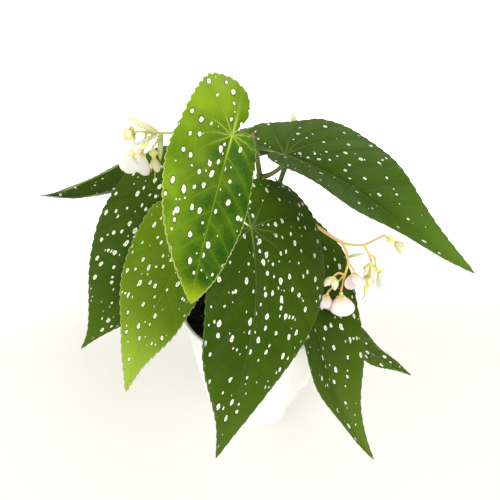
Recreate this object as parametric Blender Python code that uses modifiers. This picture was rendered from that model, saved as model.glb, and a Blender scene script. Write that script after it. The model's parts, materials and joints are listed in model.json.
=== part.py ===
# Potted cane begonia: a white nursery pot, its soil, three jointed canes, lop-sided spotted leaves
# on their petioles, and two branched flower sprays with their blooms.
# Lengths below are millimetres and angles degrees; the scene is in metres, +Z up.
# The origin is the centre of the pot's underside.

from math import cos, pi, radians, sin

import bmesh
import bpy
import numpy as np
from mathutils import Matrix, Vector, noise

MM = 0.001
SEAT = 0.3  # clearance left between two pieces that touch

# Pot
POT_HEIGHT = 138.0
POT_RIM_RADIUS = 76.0
POT_FOOT_RADIUS = 58.0
POT_WALL = 1.5
POT_FLOOR = 2.4
RIM_ROLL = 3.6  # how wide and how tall the rolled rim is
POT_SECTORS = 60
FEET = 4
RECESS_DEPTH = 8.0  # how far the wall is scooped in between two feet
RECESS_FULL = 20.0  # height up to which a scoop keeps its depth
RECESS_TOP = 50.0  # height at which it has run out
RECESS_RINGS = 3
RECESS_ARC = 54.0
RECESS_EDGE = 8.0  # arc over which a scoop's side reaches its depth
RECESS_ANGLE = -34.0  # heading of the first scoop
SLOT_ANGLE = -17.0  # heading of the first drain slot
SLOT_WIDTH = 6.0
SLOT_LOW = 10.0
SLOT_HIGH = 34.0
SLOT_CUT = 15.0  # depth of the box that cuts a slot through the scooped wall

# Soil
SOIL_LEVEL = 124.0
SOIL_LUMP = 3.0
SOIL_RINGS = 6

# Canes: each starts upright in a plain hole, then passes its swollen joints in turn
CANE_FOOT = 70.0  # height of the cut end in the soil
CANE_RADIUS = 3.5
CANE_TAPER = 0.38  # share of its radius that a cane loses from foot to top
JOINT_SWELL = 0.7
JOINT_REACH = 5.0
BUD = 5.5  # length of the dried bud on a cane's top
CANES = {
    "cane_front": [(0, 8), (1, 14, 165), (3, 20, 192), (4, 24, 222), (2, 27, 262), (-3, 14, 307)],
    "cane_right": [(14, 27), (16, 32, 158), (18, 40, 196), (20, 48, 232), (26, 58, 252), (34, 80, 278)],
    "cane_left": [(-18, 24), (-25, 33, 178), (-34, 42, 207), (-39, 47, 222), (-44, 51, 236), (-53, 54, 266)],
}

# Leaves: a unit outline from petiole to tip, x along the midrib, y to each side
WIDE_SIDE = [
    (-0.045, -0.030), (-0.14, -0.075), (-0.27, -0.035), (-0.335, 0.075), (-0.315, 0.215),
    (-0.17, 0.295), (0.03, 0.335), (0.21, 0.345), (0.40, 0.305), (0.58, 0.235),
    (0.75, 0.145), (0.89, 0.060), (1.0, 0.0),
]
NARROW_SIDE = [
    (-0.035, 0.042), (-0.04, 0.085), (-0.01, 0.135), (0.07, 0.175), (0.22, 0.20),
    (0.38, 0.205), (0.54, 0.185), (0.70, 0.14), (0.84, 0.080), (1.0, 0.0),
]
WIDE_SHARE = 0.6  # share of the margin's teeth on the wide side
BACK_DROOP = 25.0  # bend of the rounded lobe behind the petiole
CAMBER = 0.5
TAPER_HUB = 0.35  # share of the length at which a taper leaves the width as it is
BLADE = 0.8  # thickness
TOOTH = 1.3
MARGIN_WAVE = 1.2
MARGIN_WAVES = 7
PETIOLE_RADIUS = 1.9
PETIOLE_POINTS = 7
PETIOLE_ARM = 14.0  # length over which a long petiole turns to meet its blade
PETIOLE_STRAY = 0.5  # share of that arm which a petiole keeps level as it leaves its joint
PETIOLE_AIM = 0.2  # share of its way that it has turned straight for the blade by then
PETIOLE_INSET = 2.6  # how far past the notch the petiole meets the blade

# Each leaf: petiole top, heading and dip of the midrib there, roll, droop to the tip, fold at the midrib,
# length, width, sideways sweep, reach of the lobe behind the petiole, side of the wide half, and the cane
# joint that bears it. Leaves that are seen well also have a taper from petiole to tip, a broader or slimmer
# back lobe (shoulder), a narrower end (point), a sideways turn of the end (hook) and their own bend of the
# back lobe (back).
LEAVES = {
    "leaf_young": dict(
        at=(-19, -35.6, 341.6), heading=-109, dip=37, roll=-31, droop=43.5,
        fold=4, length=132, width=0.92, taper=0.18, shoulder=0.06, point=-0.1,
        sweep=-0.09, hook=-0.02, lobe=1.1, back=44, side=-1, cane="cane_front", joint=5, fine=True),
    "leaf_centre": dict(
        at=(-5.6, -39.3, 258.9), heading=-78.5, dip=29.5, roll=-21.5, droop=43,
        fold=5, length=182.5, width=1.12, taper=-0.06, shoulder=-0.29, point=0.4,
        sweep=-0.28, hook=0.09, lobe=0.76, back=21.5, side=1, cane="cane_front", joint=3, fine=True),
    "leaf_left_light": dict(
        at=(-52.8, -3.9, 224.9), heading=-129, dip=34, roll=-4, droop=23,
        fold=4.5, length=158, width=1.02, taper=-0.2, shoulder=0.52, point=0.27,
        sweep=-0.05, hook=-0.01, lobe=0.52, back=26.5, side=-1, cane="cane_left", joint=2, fine=True),
    "leaf_left_dark": dict(
        at=(-73.6, 42.1, 224.3), heading=-127.5, dip=37, roll=-16, droop=28,
        fold=5.5, length=179, width=1.01, taper=-0.1, shoulder=0, point=0.5,
        sweep=0.09, hook=0.05, lobe=0.74, back=25, side=-1, cane="cane_left", joint=3, fine=True),
    "leaf_far_left": dict(
        at=(-76.3, 119.2, 202.9), heading=178.5, dip=21.5, roll=3, droop=-17,
        fold=36, length=181, width=0.97, taper=-0.6, shoulder=0, point=0.5,
        sweep=0.04, hook=-0.15, lobe=0.6, back=25, side=1, cane="cane_left", joint=4, fine=True),
    "leaf_right_large": dict(
        at=(22.7, 25.9, 285.4), heading=-42.5, dip=-8, roll=0.5, droop=21,
        fold=23, length=188.5, width=0.79, taper=-0.08, shoulder=1, point=0.24,
        sweep=-0.27, hook=0.15, lobe=0.78, back=0, side=1, cane="cane_front", joint=4, fine=True),
    "leaf_right_low": dict(
        at=(35.9, -23.7, 199.7), heading=-61, dip=51.5, roll=-20.5, droop=-14,
        fold=23, length=187, width=0.86, taper=0.04, shoulder=0.46, point=0.5,
        sweep=-0.15, hook=0.15, lobe=0.7, back=19.5, side=1, cane="cane_front", joint=2, fine=True),
    "leaf_right_small": dict(
        at=(69, -19.4, 146.3), heading=-28, dip=49, roll=-16.5, droop=-25,
        fold=8, length=119.5, width=0.68, taper=0.03, shoulder=0, point=0.22,
        sweep=-0.1, hook=-0.02, lobe=0.5, back=25, side=-1, cane="cane_front", joint=1, fine=False),
    "leaf_back_top": dict(
        at=(-24, 72, 262), heading=110, dip=14, roll=-5, droop=41, fold=8, length=135, width=1.0,
        sweep=-0.036, lobe=0.65, side=-1, cane="cane_left", joint=5, fine=False),
    "leaf_back_left": dict(
        at=(-60, 96, 187), heading=131, dip=24, roll=10, droop=46, fold=8, length=158, width=1.0,
        sweep=-0.08, lobe=0.65, side=-1, cane="cane_left", joint=1, fine=False),
    "leaf_back_right": dict(
        at=(68, 91, 239), heading=43, dip=12, roll=-14, droop=57, fold=8, length=136, width=1.0,
        sweep=0.0, lobe=0.65, side=1, cane="cane_right", joint=4, fine=False),
    "leaf_back_centre": dict(
        at=(10, 90, 178), heading=108, dip=18, roll=10, droop=41, fold=8, length=129, width=1.0,
        sweep=0.0, lobe=0.65, side=1, cane="cane_right", joint=1, fine=False),
}

# Flower sprays: each branch is a list of points with the stalk's radius at both ends; the first branch
# leaves its cane at a height. Each bract has its root, end, width and arch.
SPRAY_ROOT = {"spray_left": ("cane_left", 257.0), "spray_right": ("cane_front", 235.0)}
SPRAYS = {
    "spray_left": [
        ([(-57.5, 43.5, 259), (-64, 36, 280), (-66, 35, 297), (-72, 33, 302), (-81, 30, 304), (-92, 26, 307)],
         1.7, 1.2),
        ([(-92, 26, 307), (-95, 23, 309.5), (-98, 19, 312)], 1.2, 0.9),
        ([(-92, 26, 307), (-94, 23, 301), (-95.5, 20.5, 296.5)], 1.2, 0.9),
        ([(-81, 30, 304), (-84, 26, 299), (-88, 22, 295)], 1.2, 0.9),
        ([(-87, 28, 305.5), (-89, 16, 306), (-88.8, 7, 308)], 1.0, 0.8),
    ],
    "spray_right": [
        ([(14, 17, 236), (25, 10, 238), (38, 3, 236), (49, -1, 231), (61, -6, 224.5), (75, -12, 218)],
         1.8, 1.4),
        ([(75, -12, 218), (84, -14, 218), (93, -16, 220), (101, -18, 227), (106, -19.5, 232.5), (109, -20.5, 234)],
         1.3, 0.9),
        ([(93, -16, 220), (97, -18, 213), (101, -20, 204)], 1.1, 0.9),
        ([(98, -18.5, 211), (104, -18, 206), (104.9, -23.5, 198.9)], 0.9, 0.8),
        ([(75, -12, 218), (79, -18, 211), (80, -24, 205)], 1.4, 1.1),
        ([(80, -24, 205), (76.5, -32, 196), (73.5, -40, 187)], 1.1, 0.9),
        ([(80, -24, 205), (82.5, -26.5, 203.5), (84.5, -28.5, 202)], 1.0, 0.8),
        ([(76, -31, 198), (71, -32.5, 201.5), (66.9, -36, 201.9)], 1.0, 0.8),
        ([(76, -31, 197), (70, -33, 189), (62, -41.5, 187.4)], 0.9, 0.8),
    ],
}
SPRAY_BRACTS = {
    "spray_left": [
        ((-81, 30, 304), (-83, 22, 281), 5.0, 0.18),
        ((-83.5, 28.5, 306), (-105.7, 21, 324.5), 6.5, 0.04),
        ((-83.5, 27.5, 304), (-104.7, 18.5, 297.5), 4.5, 0.08),
    ],
    "spray_right": [((80, -20, 209), (94, -22, 215), 3.0, 0.18)],
}

# Blooms: kind, branch that bears it (spray and index), facing direction, spin about it, size
BLOOMS = {
    "bloom_left_large": ("drooping", ("spray_left", 2), (-0.35, -0.75, -0.55), 20, 1.1),
    "bloom_left_upper": ("open", ("spray_left", 1), (-0.75, -0.60, 0.08), 70, 0.98),
    "bloom_left_faded": ("fading", ("spray_left", 3), (0.05, -0.35, -0.94), 10, 1.0),
    "bloom_left_small": ("fading", ("spray_left", 4), (-0.65, -0.70, -0.30), 0, 0.8),
    "bloom_right_tip": ("fading", ("spray_right", 1), (0.70, -0.50, -0.25), 0, 1.0),
    "bloom_right_winged": ("winged", ("spray_right", 2), (-0.12, -0.45, -0.88), 30, 1.0),
    "bloom_right_outer": ("drooping", ("spray_right", 3), (0.70, -0.50, -0.50), 100, 1.0),
    "bloom_heart_back": ("drooping", ("spray_right", 8), (-0.30, -0.65, -0.70), 95, 0.68),
    "bloom_heart_front": ("drooping", ("spray_right", 5), (0.05, -0.72, -0.70), 95, 1.0),
    "bloom_right_upper": ("drooping", ("spray_right", 6), (0.05, -0.75, -0.50), 60, 0.75),
    "bloom_right_small": ("bud", ("spray_right", 7), (-0.40, -0.70, -0.60), 0, 1.0),
}
TEPAL = 0.65  # thickness

COLOURS = {
    "pot_plastic": ((0.86, 0.85, 0.82), 0.35),
    "potting_mix": ((0.018, 0.014, 0.011), 0.95),
    "cane_bark": ((0.16, 0.13, 0.045), 0.55),
    "leaf_dark": ((0.055, 0.13, 0.02), 0.42),
    "leaf_light": ((0.16, 0.30, 0.03), 0.42),
    "leaf_young": ((0.24, 0.42, 0.03), 0.42),
    "spray_stalk": ((0.55, 0.42, 0.10), 0.5),
    "tepal_white": ((0.92, 0.88, 0.82), 0.5),
}
LEAF_COLOUR = {"leaf_young": "leaf_young", "leaf_left_light": "leaf_light"}


def clear_scene():
    for obj in list(bpy.data.objects):
        bpy.data.objects.remove(obj, do_unlink=True)


def new_collection(name):
    collection = bpy.data.collections.new(name)
    bpy.context.scene.collection.children.link(collection)
    return collection


def make_materials():
    materials = {}
    for name, (colour, roughness) in COLOURS.items():
        material = bpy.data.materials.new(name)
        material.use_nodes = True
        shader = material.node_tree.nodes["Principled BSDF"]
        shader.inputs["Base Color"].default_value = (*colour, 1.0)
        shader.inputs["Roughness"].default_value = roughness
        shader.inputs["Metallic"].default_value = 0.0
        material.diffuse_color = (*colour, 1.0)
        materials[name] = material
    return materials


def add_object(name, mesh, collection):
    obj = bpy.data.objects.new(name, mesh)
    collection.objects.link(obj)
    return obj


def finish(obj, material):
    """Give a finished piece its material and smooth shading with sharp edges kept."""
    obj.data.materials.clear()
    obj.data.materials.append(material)
    obj.data.shade_smooth()
    obj.data.set_sharp_from_angle(angle=radians(40))


def applied(obj, collection):
    """Replace an object by the mesh that its modifiers, or its curve, give."""
    bpy.context.view_layer.update()
    graph = bpy.context.evaluated_depsgraph_get()
    mesh = bpy.data.meshes.new_from_object(obj.evaluated_get(graph))
    body = bmesh.new()
    body.from_mesh(mesh)
    bmesh.ops.remove_doubles(body, verts=body.verts, dist=1e-6)
    body.to_mesh(mesh)
    body.free()
    name = obj.name
    place = obj.matrix_world.copy()
    bpy.data.objects.remove(obj, do_unlink=True)
    result = add_object(name, mesh, collection)
    result.matrix_world = place
    return result


def mapped_sheet(name, columns, rows, shape, collection):
    """A grid whose point (u, v), both 0 to 1, is moved to shape(u, v), given in millimetres."""
    grid = bmesh.new()
    bmesh.ops.create_grid(grid, x_segments=columns, y_segments=rows, size=0.5)
    flat = np.array([vert.co for vert in grid.verts]) + 0.5
    for vert, point in zip(grid.verts, shape(flat[:, 0], flat[:, 1]) * MM):
        vert.co = point
    bmesh.ops.remove_doubles(grid, verts=grid.verts, dist=1e-6)
    bmesh.ops.triangulate(grid, faces=grid.faces)
    mesh = bpy.data.meshes.new(name)
    grid.to_mesh(mesh)
    grid.free()
    return add_object(name, mesh, collection)


def thicken(obj, thickness, collection):
    wall = obj.modifiers.new("wall", "SOLIDIFY")
    wall.thickness = thickness * MM
    wall.offset = -1.0
    return applied(obj, collection)


def tube(name, points, radii, resolution, collection):
    """A round bar through the points, with its own radius at each."""
    curve = bpy.data.curves.new(name, "CURVE")
    curve.dimensions = "3D"
    curve.bevel_depth = MM
    curve.bevel_resolution = resolution
    curve.use_fill_caps = True
    spline = curve.splines.new("POLY")
    spline.points.add(len(points) - 1)
    for spot, point, radius in zip(spline.points, points, radii):
        spot.co = (*(Vector(point) * MM), 1.0)
        spot.radius = radius
    return applied(add_object(name, curve, collection), collection)


def fuse(name, pieces, collection):
    """One body from several overlapping ones."""
    first = pieces[0]
    first.name = name
    others = bpy.data.collections.new("fusing")
    bpy.context.scene.collection.children.link(others)
    for piece in pieces[1:]:
        others.objects.link(piece)
    join = first.modifiers.new("join", "BOOLEAN")
    join.operation = "UNION"
    join.solver = "EXACT"
    join.operand_type = "COLLECTION"
    join.collection = others
    joined = applied(first, collection)
    for piece in pieces[1:]:
        bpy.data.objects.remove(piece, do_unlink=True)
    bpy.data.collections.remove(others)
    joined.name = name
    return joined


def through(points, count):
    """A smooth Catmull-Rom curve through the points, sampled evenly along its length."""
    knots = np.array(points, float)
    knots = np.vstack([2 * knots[0] - knots[1], knots, 2 * knots[-1] - knots[-2]])
    spans = len(points) - 1
    t = np.linspace(0, spans, spans * 12 + 1)
    index = np.minimum(t.astype(int), spans - 1)
    u = (t - index)[:, None]
    a, b, c, d = (knots[index + step] for step in range(4))
    curve = 0.5 * (2 * b + (c - a) * u + (2 * a - 5 * b + 4 * c - d) * u**2 + (3 * b - a - 3 * c + d) * u**3)
    reach = np.concatenate([[0], np.cumsum(np.linalg.norm(np.diff(curve, axis=0), axis=1))])
    even = np.linspace(0, reach[-1], count)
    return np.stack([np.interp(even, reach, curve[:, axis]) for axis in range(curve.shape[1])], axis=-1)


# Pot and soil


def wall_radius(height):
    """Outer radius of the pot's wall, narrower at the foot than under the rim."""
    share = height / POT_HEIGHT
    return POT_FOOT_RADIUS + (POT_RIM_RADIUS - RIM_ROLL / 2 - POT_FOOT_RADIUS) * share


def step_in(points):
    """Pull the wall inwards in the scoops between the feet, less and less towards their tops."""
    angle = np.degrees(np.arctan2(points[:, 1], points[:, 0]))
    turn = 360.0 / FEET
    off = np.abs((angle - RECESS_ANGLE + turn / 2) % turn - turn / 2)
    radius = np.hypot(points[:, 0], points[:, 1])
    across = np.clip((RECESS_ARC / 2 - off) / RECESS_EDGE, 0, 1)
    upward = np.clip((RECESS_TOP - points[:, 2] / MM) / (RECESS_TOP - RECESS_FULL), 0, 1)
    pull = np.where(radius > 0.6 * POT_FOOT_RADIUS * MM, RECESS_DEPTH * MM * across * upward, 0.0)
    scale = 1 - pull / np.maximum(radius, MM)
    points[:, 0] *= scale
    points[:, 1] *= scale
    return points


def turned(name, profile, sectors, collection):
    """A solid of revolution from a profile that starts and ends on the axis."""
    outline = bmesh.new()
    spots = [outline.verts.new((radius * MM, 0, height * MM)) for radius, height in profile]
    for first, second in zip(spots, spots[1:]):
        outline.edges.new((first, second))
    mesh = bpy.data.meshes.new(name)
    outline.to_mesh(mesh)
    outline.free()
    obj = add_object(name, mesh, collection)
    screw = obj.modifiers.new("turn", "SCREW")
    screw.steps = sectors
    screw.render_steps = sectors
    screw.use_merge_vertices = True
    screw.merge_threshold = 1e-5
    solid = applied(obj, collection)
    body = bmesh.new()
    body.from_mesh(solid.data)
    points = step_in(np.array([vert.co for vert in body.verts]))
    for vert, point in zip(body.verts, points):
        vert.co = point
    bmesh.ops.triangulate(body, faces=body.faces)
    bmesh.ops.recalc_face_normals(body, faces=body.faces)
    body.to_mesh(solid.data)
    body.free()
    return solid


def make_pot(collection, cutters):
    lip = POT_HEIGHT - RIM_ROLL
    rings = np.linspace(RECESS_FULL, RECESS_TOP, RECESS_RINGS)
    profile = [
        (0, POT_FLOOR),
        (wall_radius(POT_FLOOR) - POT_WALL, POT_FLOOR),
        *((wall_radius(height) - POT_WALL, height) for height in rings),
        (wall_radius(lip) - POT_WALL, lip),
        (POT_RIM_RADIUS - RIM_ROLL * 0.75, POT_HEIGHT),
        (POT_RIM_RADIUS - RIM_ROLL * 0.25, POT_HEIGHT),
        (POT_RIM_RADIUS, POT_HEIGHT - RIM_ROLL * 0.4),
        (POT_RIM_RADIUS - RIM_ROLL * 0.1, POT_HEIGHT - RIM_ROLL * 0.9),
        (wall_radius(lip - 1), lip - 1),
        *((wall_radius(height), height) for height in rings[::-1]),
        (POT_FOOT_RADIUS, 1.0),
        (POT_FOOT_RADIUS - 1.0, 0),
        (0, 0),
    ]
    pot = turned("pot", profile, POT_SECTORS, collection)
    for index in range(FEET):
        angle = radians(SLOT_ANGLE + index * 360.0 / FEET)
        middle = (SLOT_LOW + SLOT_HIGH) / 2
        reach = wall_radius(middle) - POT_WALL / 2 - RECESS_DEPTH * 0.8
        box = bmesh.new()
        bmesh.ops.create_cube(box, size=1.0)
        size = (SLOT_CUT * MM, SLOT_WIDTH * MM, (SLOT_HIGH - SLOT_LOW) * MM)
        bmesh.ops.scale(box, vec=size, verts=box.verts)
        mesh = bpy.data.meshes.new("drain_cutter")
        box.to_mesh(mesh)
        box.free()
        cutter = add_object(f"drain_cutter_{index + 1}", mesh, cutters)
        cutter.location = (reach * cos(angle) * MM, reach * sin(angle) * MM, middle * MM)
        cutter.rotation_euler = (0, 0, angle)
        cutter.hide_render = True
        cutter.display_type = "WIRE"
        slot = pot.modifiers.new(f"slot_{index + 1}", "BOOLEAN")
        slot.operation = "DIFFERENCE"
        slot.object = cutter
    return pot


def make_soil(collection, cutters):
    gap = POT_WALL + SEAT + 0.2
    low = POT_FLOOR + SEAT
    edge = wall_radius(SOIL_LEVEL) - gap
    heights = np.linspace(RECESS_FULL, RECESS_TOP, RECESS_RINGS)
    rings = [(edge * (1 - ring / SOIL_RINGS), SOIL_LEVEL) for ring in range(SOIL_RINGS + 1)]
    profile = [
        (0, low),
        (wall_radius(low) - gap, low),
        *((wall_radius(height) - gap, height) for height in heights),
    ]
    soil = turned("soil", profile + rings, POT_SECTORS, collection)
    for vert in soil.data.vertices:
        if vert.co.z > (SOIL_LEVEL - 1) * MM and vert.co.xy.length < (edge - 1) * MM:
            spot = Vector((vert.co.x, vert.co.y, 0)) / MM
            lump = noise.noise(spot * 0.07) + 0.6 * noise.noise(spot * 0.21 + Vector((3, 7, 0)))
            vert.co.z += SOIL_LUMP * lump * MM
    for name, route in CANES.items():
        bpy.ops.mesh.primitive_cylinder_add(
            vertices=12,
            radius=(CANE_RADIUS + SEAT + 0.2) * MM,
            depth=(POT_HEIGHT - CANE_FOOT + SEAT) * MM,
            location=(route[0][0] * MM, route[0][1] * MM, (POT_HEIGHT + CANE_FOOT - SEAT) / 2 * MM),
        )
        cutter = bpy.context.object
        cutter.name = f"{name}_hole_cutter"
        for owner in list(cutter.users_collection):
            owner.objects.unlink(cutter)
        cutters.objects.link(cutter)
        cutter.hide_render = True
        cutter.display_type = "WIRE"
        hole = soil.modifiers.new(f"{name}_hole", "BOOLEAN")
        hole.operation = "DIFFERENCE"
        hole.object = cutter
    return soil


# Canes


def cane_axis(name):
    """Points along a cane, upright to the soil's surface and then through its joints."""
    route = CANES[name]
    foot = route[0]
    knots = [(*foot, SOIL_LEVEL + 6)] + [tuple(point) for point in route[1:]]
    curve = through(knots, 200)
    return np.vstack([[(*foot, CANE_FOOT)], [(*foot, SOIL_LEVEL)], curve])


def cane_radius(name, height):
    """Radius of a cane at a height: a slow taper, swollen at each joint."""
    route = CANES[name]
    top = route[-1][2]
    share = (height - CANE_FOOT) / (top - CANE_FOOT)
    swell = sum(np.exp(-(((height - joint[2]) / (JOINT_REACH * 0.7)) ** 2)) for joint in route[1:])
    return CANE_RADIUS * (1 - CANE_TAPER * share) + JOINT_SWELL * swell


def cane_side(name, height, toward, radius):
    """Where a stalk of this radius starts just off a cane's side, and its level heading to a point."""
    axis = cane_axis(name)
    below, middle, above = (
        np.array([np.interp(level, axis[:, 2], axis[:, side]) for side in range(3)])
        for level in (height - 2, height, height + 2)
    )
    away = np.array(toward, float) - middle
    away[2] = 0
    away /= np.linalg.norm(away)
    lean = abs(np.dot(above - below, away)) / np.linalg.norm(above - below)
    reach = (cane_radius(name, height) + SEAT + 0.1 + 0.7 * radius * lean) / np.sqrt(1 - lean**2)
    return middle + away * reach, away


def make_cane(name, collection):
    axis = cane_axis(name)
    heights = [CANE_FOOT, SOIL_LEVEL, SOIL_LEVEL + 8]
    joints = [joint[2] for joint in CANES[name][1:]]
    for low, high in zip([SOIL_LEVEL + 8] + joints, joints):
        heights += [high - JOINT_REACH, high, high + JOINT_REACH]
        if high - low > 3 * JOINT_REACH:
            heights.append((low + high) / 2)
    heights = np.unique(np.minimum(heights, joints[-1] + JOINT_REACH * 0.5))
    top = axis[-1] + (axis[-1] - axis[-8]) / np.linalg.norm(axis[-1] - axis[-8]) * JOINT_REACH * 0.5
    axis = np.vstack([axis, top])
    points = [[np.interp(height, axis[:, 2], axis[:, side]) for side in range(3)] for height in heights]
    radii = [cane_radius(name, height) for height in heights]
    stem = tube(f"{name}_stem", points, radii, 1, collection)
    pieces = [stem]
    up = Vector(points[-1]) - Vector(points[-2])
    tip = Vector(points[-1])
    bud = [tip - up.normalized() * 2, tip + up.normalized() * BUD * 0.4, tip + up.normalized() * BUD]
    pieces.append(tube(f"{name}_bud", bud, [1.9, 1.7, 0.7], 1, collection))
    for index, joint in enumerate(CANES[name][2:-1]):
        turn = radians(137.5 * index - 10)
        out = Vector((cos(turn), sin(turn), 0))
        root = Vector(joint) + out * 2.0
        end = root + out * 5.0 + Vector((0, 0, 12.0))
        pieces.append(leaflet(f"{name}_stipule_{index}", root, end, 3.4, 0.18, collection))
    return fuse(name, pieces, collection)


def leaflet(name, root, end, width, arch, collection):
    """A small pointed scale or bract from root to end, arched by a share of its length."""
    root = Vector(root)
    along = Vector(end) - root
    across = along.cross(Vector((0.2, 0.5, 0.8))).normalized()
    lift = across.cross(along).normalized()

    def shape(u, v):
        half = width * np.sin(pi * (0.2 + 0.7 * v)) * (u - 0.5)
        rise = arch * along.length * np.sin(pi * v)
        return (
            np.array(root)
            + v[:, None] * np.array(along)
            + half[:, None] * np.array(across)
            + rise[:, None] * np.array(lift)
        )

    return thicken(mapped_sheet(name, 2, 3, shape, collection), BLADE, collection)


# Leaves


def margin(u):
    """Outline point at share u of the margin, from the notch round the wide side to the tip and back."""
    wide = through(WIDE_SIDE, 240)
    narrow = through(NARROW_SIDE, 240)
    steps = np.linspace(0, 1, 240)
    on_wide = u <= WIDE_SHARE + 1e-6
    share = np.where(on_wide, u / WIDE_SHARE, (1 - u) / (1 - WIDE_SHARE))
    side = np.where(on_wide, 1.0, -1.0)
    x = np.where(on_wide, np.interp(share, steps, wide[:, 0]), np.interp(share, steps, narrow[:, 0]))
    y = np.where(on_wide, np.interp(share, steps, wide[:, 1]), np.interp(share, steps, narrow[:, 1]))
    return x, y * side


def turn_matrix(leaf):
    heading = Matrix.Rotation(radians(leaf["heading"]), 3, "Z")
    dip = Matrix.Rotation(radians(leaf["dip"]), 3, "Y")
    roll = Matrix.Rotation(radians(leaf["roll"]), 3, "X")
    return np.array(heading @ dip @ roll)


def bend(leaf, x, y):
    """Flat blade point to its place: the midrib arches down to the tip, the halves fold up and curl over."""
    length = leaf["length"]
    side = leaf["side"]
    part = x / length
    late = np.clip(2 * part - 1, 0, 1)
    broad = 1 + leaf.get("taper", 0) * (np.maximum(part, 0) - TAPER_HUB)
    broad = broad * (1 + leaf.get("shoulder", 0) * np.minimum(part, 0))
    broad = broad * (1 - leaf.get("point", 0) * late**2 * (3 - 2 * late))
    half = y * leaf["width"] * broad
    x = np.where(x < 0, x * leaf["lobe"], x)
    curve = leaf["sweep"] * (np.maximum(x, 0) / length) ** 2 + leaf.get("hook", 0) * late**2
    y = side * (half + curve * length)
    steps = np.linspace(0, 1.05, 200) * length
    slope = radians(leaf["droop"]) * (steps / length) ** 1.3
    pace = np.diff(steps)
    run = np.concatenate([[0], np.cumsum((np.cos(slope[1:]) + np.cos(slope[:-1])) / 2 * pace)])
    drop = np.concatenate([[0], np.cumsum((np.sin(slope[1:]) + np.sin(slope[:-1])) / 2 * pace)])
    ahead = np.maximum(x, 0)
    behind = np.minimum(x, 0)
    along = np.interp(ahead, steps, run) + behind
    back = radians(leaf.get("back", BACK_DROOP))
    height = -np.interp(ahead, steps, drop) - back * behind**2 / (0.66 * length)
    tilt = np.interp(ahead, steps, slope)
    rise = np.abs(half) * sin(radians(leaf["fold"])) - CAMBER * half**2 / length
    outward = y * cos(radians(leaf["fold"]))
    local = np.stack([along + rise * np.sin(tilt), outward, height + rise * np.cos(tilt)], -1)
    return local @ turn_matrix(leaf).T + np.array(leaf["at"], float)


def make_blade(name, leaf, collection):
    columns, rows = (50, 3) if leaf["fine"] else (36, 2)

    def shape(u, v):
        edge = np.round(u * columns).astype(int)
        inner = (v > 0.01) & (v < 1.5 / rows)
        u = np.where(inner & (edge % 2 == 1), (edge - 1) / columns, u)  # half as many points near the petiole
        x, y = margin(u)
        away = np.minimum(np.minimum(u, 1 - u), np.abs(u - WIDE_SHARE)) * columns > 1.5
        tooth = np.where((edge % 2 == 1) & (v > 0.99) & away, TOOTH / leaf["length"], 0.0)
        grow = 1 + tooth / np.hypot(x, y)
        reach = v**0.85 * grow
        points = bend(leaf, x * reach * leaf["length"], y * reach * leaf["length"])
        wave = MARGIN_WAVE * v**3 * np.sin(2 * pi * MARGIN_WAVES * u + leaf["heading"])
        return points + wave[:, None] * turn_matrix(leaf)[:, 2]

    sheet = mapped_sheet(f"{name}_blade", columns, rows, shape, collection)
    body = bmesh.new()
    body.from_mesh(sheet.data)
    facing = sum((face.normal * face.calc_area() for face in body.faces), Vector())
    if facing.dot(Vector(turn_matrix(leaf)[:, 2])) < 0:
        bmesh.ops.reverse_faces(body, faces=body.faces)
        body.to_mesh(sheet.data)
    body.free()
    return thicken(sheet, BLADE, collection)


def make_petiole(name, leaf, collection):
    """The leaf's own stalk, from just off its cane joint to the underside of the blade."""
    normal = turn_matrix(leaf)[:, 2]
    top = bend(leaf, np.array([PETIOLE_INSET]), np.array([0.0]))[0]
    radii = np.linspace(1.15, 0.9, PETIOLE_POINTS) * PETIOLE_RADIUS
    start, away = cane_side(leaf["cane"], CANES[leaf["cane"]][leaf["joint"]][2], top, radii[0])
    span = np.linalg.norm(top - start)
    end = top - normal * BLADE / 2
    t = np.linspace(0, 1, PETIOLE_POINTS)[:, None]
    arm = min(0.30 * span, PETIOLE_ARM)
    hold = start + away * PETIOLE_STRAY * max(0.30 * span, PETIOLE_ARM) + (end - start) * PETIOLE_AIM
    reach = end - normal * arm - turn_matrix(leaf)[:, 0] * 0.4 * arm
    path = (1 - t) ** 3 * start + 3 * (1 - t) ** 2 * t * hold + 3 * (1 - t) * t**2 * reach + t**3 * end
    path[1, 2] = start[2]  # the cut end stands square to the level start
    return tube(f"{name}_petiole", path, radii, 1, collection)


def make_leaf(name, leaf, collection):
    return fuse(name, [make_blade(name, leaf, collection), make_petiole(name, leaf, collection)], collection)


# Flower sprays and blooms


def branch(spray, index):
    """Points along one branch of a spray and the radius at each."""
    points, start, end = SPRAYS[spray][index]
    if index == 0:
        root, away = cane_side(*SPRAY_ROOT[spray], points[0], start)
        points = [tuple(root)] + points
    count = 2 * len(points) - 1
    return through(points, count), np.linspace(start, end, count)


def make_spray(name, collection):
    pieces = []
    for index in range(len(SPRAYS[name])):
        points, radii = branch(name, index)
        pieces.append(tube(f"{name}_branch_{index}", points, radii, 1, collection))
    for index, (root, end, width, arch) in enumerate(SPRAY_BRACTS[name]):
        pieces.append(leaflet(f"{name}_bract_{index}", root, end, width, arch, collection))
    return fuse(name, pieces, collection)


def tepal(name, length, width, open_angle, cup, spin, lift, collection):
    """A tepal in the bloom's own frame: it leaves the axis at open_angle and curls back inwards by cup."""

    def shape(u, v):
        across = (u - 0.5) * 2
        half = width / 2 * np.sin(pi * (0.03 + 0.88 * v)) ** 0.7
        turn = radians(open_angle) - radians(cup) * v
        out = v * length * np.sin(turn)
        up = v * length * np.cos(turn) + 0.22 * half * across**2 + lift
        side = half * across
        base = 1.0 + out
        angle = radians(spin)
        first = base * cos(angle) - side * sin(angle)
        second = base * sin(angle) + side * cos(angle)
        return np.stack([first, second, up], -1)

    columns, rows = (4, 3) if width > 8 else (2, 2)
    return thicken(mapped_sheet(name, columns, rows, shape, collection), TEPAL, collection)


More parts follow.
